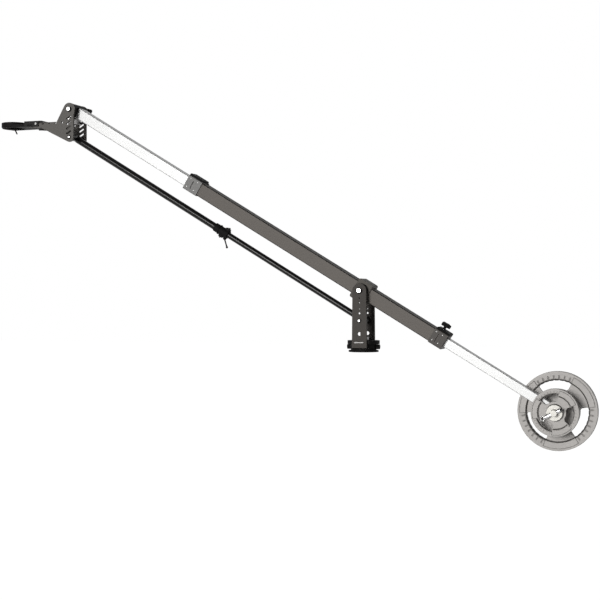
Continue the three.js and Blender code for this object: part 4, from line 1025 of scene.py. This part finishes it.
# Head axle, tie bar and rod pin
# The axle has a bright-faced cap in front and a thread for the lock knob behind. The tie bar is a
# bare milled block between the plates, and the pin below takes the levelling rod.
capped_axle(
    "head_axle", (-1,), 55.9, 7, ((-56, -40), (-41, 55.6)), head_frame, "head", "head_axle"
)
axle_thread = turned(oblong(0, 5.7, 55, 85.6), "y", 0.5, 48)
add_piece("head_axle_thread", axle_thread, head_frame, steel, "head")
# The tie bar is bare aluminium, coloured lighter than the foot tongues as painted light where the
# front plate shades it.
tie_painted_light_finish = clouded(
    "sawn_aluminium_painted_light", (0.62, 0.61, 0.6), 0.34, 0.9,
    90, (0.16, 0.26), (0.54, 0.53, 0.52), (0.66, 0.65, 0.64),
)
tie_block = block((-24, -47.3, -53), (-2, 47.3, -28.5), 0.6)
add_piece("tie_block", tie_block, head_frame, tie_painted_light_finish, "head", "head_tie_bar")
head_pin_place = Matrix.Translation(head_pivot + Vector((0, 0, -rod_pin_drop * mm)))
rod_pin("head_pin", head_plate[1], head_pin_place, "head", "head_rod_pin")

# Head lock knob
# A large five-lobed knob on the axle's thread behind the rear plate, which locks the head.
lock_place = head_frame @ away @ Matrix.Rotation(math.pi / 5, 4, "Z")
lock_star = star_knob(52, 38, 28, 10, 55.9, 6.3)
add_piece("head_lock_star", lock_star, lock_place, plastic, "head_lock_knob", "head_lock_knob")

# Camera platform
# A folded channel over the arms of the head plates, screwed to them, with a bowl casting whose
# tongues go through the plates. Both are black.
black_sheet = powder_coat("black_sheet", (0.013, 0.0125, 0.012), 0.6, 1500, 0.1)
flange_outline = rounded(oblong(-202, -137.5, -64, -41.3), 1.2)
flange_holes = [rounded(tongue_slot, 0.5), circle(2.8, platform_screw, 24)]
channel = joined(
    sawn(rounded(oblong(-202, -122, -59.9, 59.9), 2), [], -43.5, -41, 0.5, "z"),
    *[sawn(flange_outline, flange_holes, *span(side, 55.9, 59.9), 0.5) for side in (-1, 1)],
)
add_piece("folded_channel", channel, head_frame, black_sheet, "head", "platform_channel")
platform_screws = both_sides(screw_head(4.5, 3, 2.3), 60.2, *platform_screw)
add_piece(
    "platform_cap_screws", platform_screws, head_frame, zinc, "head",
    "platform_screw_front", "platform_screw_rear",
)
bowl_centre = Vector((-281, 0, 0))
black_bowl = black_finish("black_turned_bowl", "z", head_pivot + bowl_centre * mm)
bowl_rim = -39
bowl_foot = -57


def ball_points(ball):
    """The ball's outline from the bowl's rim down to its foot."""
    last = math.asin((bowl_rim - bowl_foot) / ball)
    turns = [last * k / 10 for k in range(11)]
    return [(ball * math.cos(a), bowl_rim - ball * math.sin(a)) for a in turns]


bowl_profile = [(53.5, bowl_foot), (53.5, bowl_rim), *ball_points(44)]
tail_outline = [
    (bowl_centre.x, -51), (-199.3, -47.3), (-152, -47.3), (-152, 47.3), (-199.3, 47.3),
    (bowl_centre.x, 51), *arc(bowl_centre.xy, 51, 90, 270, 32)[1:-1],
]
bowl = joined(
    turned(bowl_profile, "z", 0.7, 128, centre=bowl_centre),
    sawn(tail_outline, [circle(43.2, bowl_centre.xy, 64)], -61, -49, 0.8, "z"),
    block((-188, -59.6, -58.6), (-164, 59.6, -55.2), 0.4),
)
add_piece("bowl_and_tail", bowl, head_frame, black_bowl, "head", "bowl_casting")

# Camera plate and its screw
# A flat-topped half ball that levels in the bowl. The screw goes up through it from a knurled
# knob with a short bar, and draws the plate down in the bowl.
plate_profile = [
    (5.05, -54), (11, -54), (11, -45.3), (34, -45.3), (34, bowl_foot),
    *reversed(ball_points(43.7)[1:]), (43.69, -39.3), (5.05, -39.3),
]
levelling_plate = turned(plate_profile, "z", 0.5, 128, centre=bowl_centre)
add_piece(
    "levelling_plate", levelling_plate, head_frame, black_bowl, "camera_plate", "camera_plate"
)

ribs_round, wire, ribs_out = new_tree(
    "Ribs round an axis", Int="Groups Each", Float="First Step Turn", Vector="Axis Centre"
)
rib_index = wire["Geometry"].node("GeometryNodeInputIndex")
rib_group = rib_index.sum("FLOOR", rib_index / wire["Each"])
rib_angle = (
    wire["First"]
    + rib_group * wire["Turn"]
    + (rib_index - rib_group * wire["Each"]) * wire["Step"]
)
rib_turn = rib_index.node(
    "FunctionNodeAxisAngleToRotation", {"Axis": wire["Axis"], "Angle": rib_angle}
)
rib_count = wire["Groups"] * wire["Each"]
rib_points = rib_index.node(
    "GeometryNodeMeshLine",
    {"Count": rib_count, "Start Location": wire["Centre"], "Offset": (0, 0, 0)},
    mode="OFFSET",
)
rib_copies = rib_index.node(
    "GeometryNodeInstanceOnPoints",
    {"Points": rib_points, "Instance": wire["Geometry"], "Rotation": rib_turn},
)
close_tree(rib_copies, wire, ribs_out)

knurls = grown(
    block((16.6, -0.55, -65.4), (18, 0.55, -55.2), 0.4), ribs_round, Groups=1, Each=48, First=0.0,
    Step=math.radians(7.5), Turn=0.0, Axis=(0.0, 0.0, 1.0), Centre=tuple(bowl_centre),
    Material=plastic,
)
tommy_bar = turned(oblong(0, 2.7, 0, 22), "x", 0.8, 32)
tommy_lean = Matrix.Rotation(math.radians(62), 4, "Y")
tommy_bar.transform(Matrix.Translation((bowl_centre.x, 0, -63.6)) @ tommy_lean)
screw_grip = turned(oblong(0, 17.3, -66.3, -54.3), "z", 0.9, centre=bowl_centre)
screw_thread = turned(oblong(0, bolt_radius, -60, -41), "z", 0.6, 48, centre=bowl_centre)
add_piece(
    "camera_screw_grip", joined(screw_grip, knurls, tommy_bar), head_frame, plastic,
    "camera_screw_knob", "camera_screw_knob",
)
add_piece("camera_screw_thread", screw_thread, head_frame, polished, "camera_screw_knob")

# Levelling rod
# Two black anodised tubes that telescope with the boom, each with an eye that swings on its pin.
# The satin anodising catches one narrow streak of light along the tube.
rod_black, rod_shader, rod_place = new_finish(
    "black_anodised_tube", (0.016, 0.0155, 0.015), 0.27, 0.6, 0.22
)
rod_lines = lines_along_boom(rod_place, (4, 900, 900), 2)
(rod_lines * 0.08 + 0.22).into(rod_shader, "Roughness")
tint(rod_shader, rod_lines, (0.013, 0.0125, 0.012), (0.02, 0.0195, 0.019))


def rod_eye(half_gap, neck, plug, side):
    """An eye across a gap, with a neck and a plug toward side times X."""
    reach = half_gap - 0.3
    shank = [(0, 9), (neck, 9), (neck, 29.7), (plug, 29.7), (plug, 74), (0, 74)]
    eye_ring = turned(oblong(5.3, 12.5, -reach, reach), "y", 0.8, 64)
    return joined(eye_ring, turned(facing(side, shank), "x", 0.5, 64))


lower_tube = turned(oblong(9, 11.5, -840, -30), "x", 0.4, 64)
upper_tube = turned(oblong(11.8, 13.5, -1379, -674), "x", 0.4, 64)
upper_place = rod_frame @ Matrix.Translation((-barrel_reach * mm, 0, 0))
lower_eye = rod_eye(column_plate[0], 11.5, 8.7, -1)
upper_eye = rod_eye(head_plate[0], 13.5, 11.5, 1)
add_piece("lower_rod_tube", lower_tube, rod_frame, rod_black, "rod_lower", "rod_inner_tube")
add_piece("lower_rod_eye", lower_eye, rod_frame, rod_black, "rod_lower", "rod_column_eye")
add_piece("upper_rod_tube", upper_tube, rod_frame, rod_black, "rod_upper", "rod_outer_tube")
add_piece("upper_rod_eye", upper_eye, upper_place, rod_black, "rod_upper", "rod_head_eye")

# Rod clamp
# A split black collar that locks the two rod tubes, with a flange at its head end, two lobes for
# its pinch screws and a lever with a ball end underneath.


def clamp_lobe(at, height):
    """A round lobe across the collar, joined to it by a web and cut clear of the tube."""
    low, high = sorted((0, height))
    barrel = turned(oblong(0, 9, -10, 10), "y", 1.0, 64, centre=(at, 0, height))
    web = block((at - 9, -10, low), (at + 9, 10, high), 0.8)
    return cut_away(joined(barrel, web), turned(oblong(0, 13.9, -700, -600), "x"))


pinches = ((-646, 21.5), (-659, -21.5))
collar = joined(
    turned(oblong(13.8, 17, -698, -675), "x", 0.8, 64),
    turned(oblong(11.8, 17, -676, -634), "x", 0.8, 64),
    turned(oblong(13.8, 19.6, -678, -675), "x", 0.4, 64),
    *[clamp_lobe(*pinch) for pinch in pinches],
)
add_piece("rod_collar", collar, rod_frame, plastic, "rod_upper", "rod_clamp_collar")
pinch_screws = [both_sides(screw_head(4.2, 1.6, 2.0), 8.6, *pinch) for pinch in pinches]
add_piece("rod_pinch_screws", joined(*pinch_screws), rod_frame, blackened, "rod_upper")
lever_at = -641
ball_radius = 4.5
ball_end = [
    (ball_radius * math.sin(math.radians(a)), 34 - ball_radius * math.cos(math.radians(a)))
    for a in range(38, 180, 12)
]
lever_profile = [(0, 0), (3, 0), (2.6, 20), (2.8, 29), *ball_end, (0, 34 + ball_radius)]
lever_arm = turned(lever_profile, "x", steps=32)
lever_lean = Matrix.Rotation(math.radians(42), 4, "Y")
lever_arm.transform(Matrix.Translation((lever_at, 0, -20.8)) @ lever_lean)
lever_hub = turned(oblong(0, 6, -24.3, -17.3), "z", 0.8, 48, centre=(lever_at, 0, 0))
lever = joined(lever_hub, lever_arm)
add_piece("rod_lever", lever, rod_frame, plastic, "rod_clamp_lever", "rod_clamp_lever")

# Weight bar and washers
# A bright steel bar through the rear tube that both weights hang on, with turned washers outside.
weight_steel = turned_finish(
    "turned_steel", (0.44, 0.43, 0.4), 0.52, 0.75, 0.5, "y", weight_axis
)
bar_profile = [
    (0, -76.2), (12, -76.2), (12, -53), (12.5, -53),
    (12.5, 60), (12, 60), (12, 83.2), (0, 83.2),
]
bar = turned(bar_profile, "y", 0.7)
add_piece("weight_spindle", bar, weight_frame, weight_steel, "rear_stage", "weight_bar")
for label, low in (("front", -52.7), ("rear", 51.7)):
    washer = turned(oblong(12.8, 28.5, low, low + 8), "y", 0.9)
    add_piece(
        "bar_washer_" + label, washer, weight_frame, weight_steel, "rear_stage",
        "weight_washer_" + label,
    )

# Weights
# Two cast-iron discs with a thick rim, a thin web, a hub and three hand windows. The rim is fluted
# for the fingers at each window and has raised pads between them. They are sprayed hammered grey.
cast, cast_shader, cast_place = new_finish(
    "hammered_grey_cast", (0.35, 0.335, 0.32), 0.5, 0.15, 0.35
)
dents = cast_place.node(
    "ShaderNodeTexVoronoi",
    {"Vector": cast_place, "Scale": 330.0, "Smoothness": 0.8},
    feature="SMOOTH_F1",
)
cast_grain = mottle(cast_place, 700)
sprayed = dents * 0.35 + mottle(cast_place, 18, 4) * 0.5 + cast_grain * 0.2
(cast_grain * 0.2 + dents * 0.14 + 0.36).into(cast_shader, "Roughness")
relief(cast_shader, dents * 0.7 + cast_grain * 0.3, 0.0004, 0.3)


def shade_in_recesses_of(centre_y, rim, web, reach):
    """1 in the recesses between the web and the rim's face, which are coloured dark as painted
    shade.
    """
    height = cast_place.sum("ABSOLUTE", cast_place.axis("y") - centre_y * mm) * 1000
    radius = axis_radius(cast_place, "y", weight_axis) * 1000
    below = ((rim - 0.9 - height) * 0.5).share()
    above = ((height - web - 0.2) * 1.2).share()
    return below * above * (reach - radius).share()


large_y = 36.7
small_y = -33.2
# Painted shade darkens the recesses of both weights.
painted_recess_shade = shade_in_recesses_of(large_y, 13.5, 6.5, 138).at_least(shade_in_recesses_of(small_y, 10, 5, 82)) * 0.92
tint(
    cast_shader, sprayed, (0.335, 0.321, 0.306), (0.465, 0.446, 0.427),
    painted_recess_shade, (0.02, 0.018, 0.016),
)


def hand_window(inner, outer, middle, sweep, corner, flute=0, flutes=1):
    """A window's outline as part of a ring, its outer edge fluted for the fingers."""
    mean = (inner + outer) / 2
    half = math.radians(sweep) / 2 * mean
    taper = corner * 1.6
    box = rounded(
        [
            (inner, taper - half), (inner + taper, -half), (outer, -half),
            (outer, half), (inner + taper, half), (inner, half - taper),
        ],
        corner,
        steps=6,
    )
    points = []
    for here, after in zip(box, [*box[1:], box[0]]):
        pieces = max(1, math.ceil((after - here).length / 1.5))
        points += [here.lerp(after, k / pieces) for k in range(pieces)]
    outline = []
    for radius, along in points:
        share = along / half
        if outer - radius < 0.01 and abs(share) < 0.88:
            radius += flute * max(0, math.cos(share * flutes * math.pi))
        angle = math.radians(middle) + along / mean
        outline.append(Vector((radius * math.cos(angle), radius * math.sin(angle))))
    return outline


def weight_plate(name, body, centre_y, outer, rim, web, hub, rim_inner, flare, window, flute, pad):
    """A weight about the Y axis. window is (inner, outer, sweep, first middle), flute is (radius,
    depth, end, count, step) and pad is (inner, outer, sweep)."""
    window_inner, window_outer, window_sweep, window_first = window
    flute_radius, flute_depth, flute_end, flute_count, flute_step = flute
    pad_inner, pad_outer, pad_sweep = pad
    middles = [window_first + 120 * i for i in range(3)]
    windows = [
        hand_window(window_inner, window_outer, m, window_sweep, 4, flute_depth * 0.8, flute_count)
        for m in middles
    ]
    disc_holes = [circle(12.9, steps=64), *windows]
    disc = sawn(circle(rim_inner + 4, steps=128), disc_holes, -web, web, 1.2, "y", 3)
    rim_profile = doubled([(rim_inner - 0.3, web + 1), (rim_inner + flare, rim), (outer, rim)])
    cuts = [sawn(opening, [], -rim - 2, rim + 2, 0.05) for opening in windows]
    groove_profile = [
        (0, rim_inner - 4),
        (flute_radius, rim_inner - 4),
        (flute_radius, flute_end - flute_radius),
        (flute_radius * 0.87, flute_end - flute_radius * 0.5),
        (flute_radius * 0.5, flute_end - flute_radius * 0.13),
        (0, flute_end),
    ]
    first_groove = window_first - flute_step * (flute_count - 1) / 2
    for side in (-1, 1):
        groove_at = (0, side * (rim - flute_depth + flute_radius), 0)
        cuts.append(grown(
            turned(groove_profile, "x", steps=20, centre=groove_at), ribs_round,
            Groups=3, Each=flute_count, First=-math.radians(first_groove),
            Step=-math.radians(flute_step), Turn=-math.radians(120), Axis=(0.0, 1.0, 0.0),
            Centre=(0.0, 0.0, 0.0), Material=cast,
        ))
    parts = []
    pad_profile = [
        (pad_inner - 6, web - 0.5), (pad_inner - 5.6, web + 0.2), (pad_inner - 3, web + 1),
        (pad_inner - 1.4, web + 2.6), (pad_inner - 0.4, rim - 1), (pad_inner + 0.8, rim + 1.2),
        (pad_outer - 0.6, rim + 1.2), (pad_outer, rim + 0.6), (pad_outer, web - 0.5),
    ]
    for side in (-1, 1):
        for m in middles:
            bed = hand_window(pad_inner - 9, pad_outer + 1.8, m + 60, pad_sweep + 2.4, 1)
            cuts.append(sawn(bed, [], *span(side, rim - 2, rim + 4), 0.05))
            pad_start = m + 60 - pad_sweep / 2
            parts.append(turned(facing(side, pad_profile), "y", 0, 160, pad_start, pad_sweep))
    hub_profile = doubled([(12.8, rim), (hub, rim), (hub + 1.6, web + 1.8), (hub + 5, web - 0.4)])
    rim_ring = cut_away(turned(rim_profile, "y", 1.8, 160), *cuts)
    plate = joined(disc, rim_ring, turned(hub_profile, "y", 1.2), *parts)
    plate_place = weight_frame @ Matrix.Translation((0, centre_y * mm, 0))
    add_piece(name, plate, plate_place, cast, body, body)


weight_plate(
    "large_cast_weight", "large_weight", large_y, 142.5, 13.5, 6.5, 32, 109.5, 7,
    (80, 109, 64, 96), (3.9, 2.0, 130.5, 7, 9.1), (113, 133.5, 55),
)
weight_plate(
    "small_cast_weight", "small_weight", small_y, 85, 10, 5, 27, 66, 4,
    (39, 65, 62, 110), (2.3, 1.2, 77, 7, 9), (61.5, 78.5, 54),
)

# Cross pins and pull rings
# A polished steel pin through each end of the bar keeps its weight on. It has a tapered tip, and a
# wire ring through its neck to pull it by.
pin_steel, pin_shader, pin_place = new_finish("pin_steel", (0.5,) * 3, 0.24, 1.0)
pin_haze = mottle(pin_place, 150)
(pin_haze * 0.1 + 0.18).into(pin_shader, "Roughness")
pin_turn = math.radians(27)
pin_along = pin_place.vector("SUBTRACT", weight_axis).vector(
    "DOT_PRODUCT", (math.cos(pin_turn), 0, math.sin(pin_turn)), 1
)
# Painted shade: the pin's tapered tip is coloured dark.
painted_tip_shade = ((pin_along * 1000 - 23.5) * 0.8).share()
tint(pin_shader, pin_haze, (0.44, 0.44, 0.44), (0.54, 0.54, 0.54), painted_tip_shade, (0.09, 0.09, 0.09))
pin_profile = [(0, -41), (3, -41), (3, -33), (7.5, -33), (7.5, 24), (3.75, 33), (0, 33)]
wire_angles = [math.radians(a) for a in range(0, 360, 30)]
wire_loop = [(7.5 + 1.1 * math.cos(a), 1.1 * math.sin(a)) for a in wire_angles]
for label, pin_y in (("front", -0.0612), ("rear", 0.0682)):
    place = weight_frame @ Matrix.Translation((0, pin_y, 0)) @ Matrix.Rotation(-pin_turn, 4, "Y")
    pin = turned(pin_profile, "x", 0.6, 64)
    pin_name = "cross_pin_" + label
    add_piece("retaining_pin_" + label, pin, place, pin_steel, pin_name, pin_name)
    pull_ring = turned(wire_loop, "y", steps=64, centre=(-44.19, 0, 0))
    ring_name = "pull_ring_" + label
    add_piece("wire_ring_" + label, pull_ring, place, polished, ring_name, ring_name)
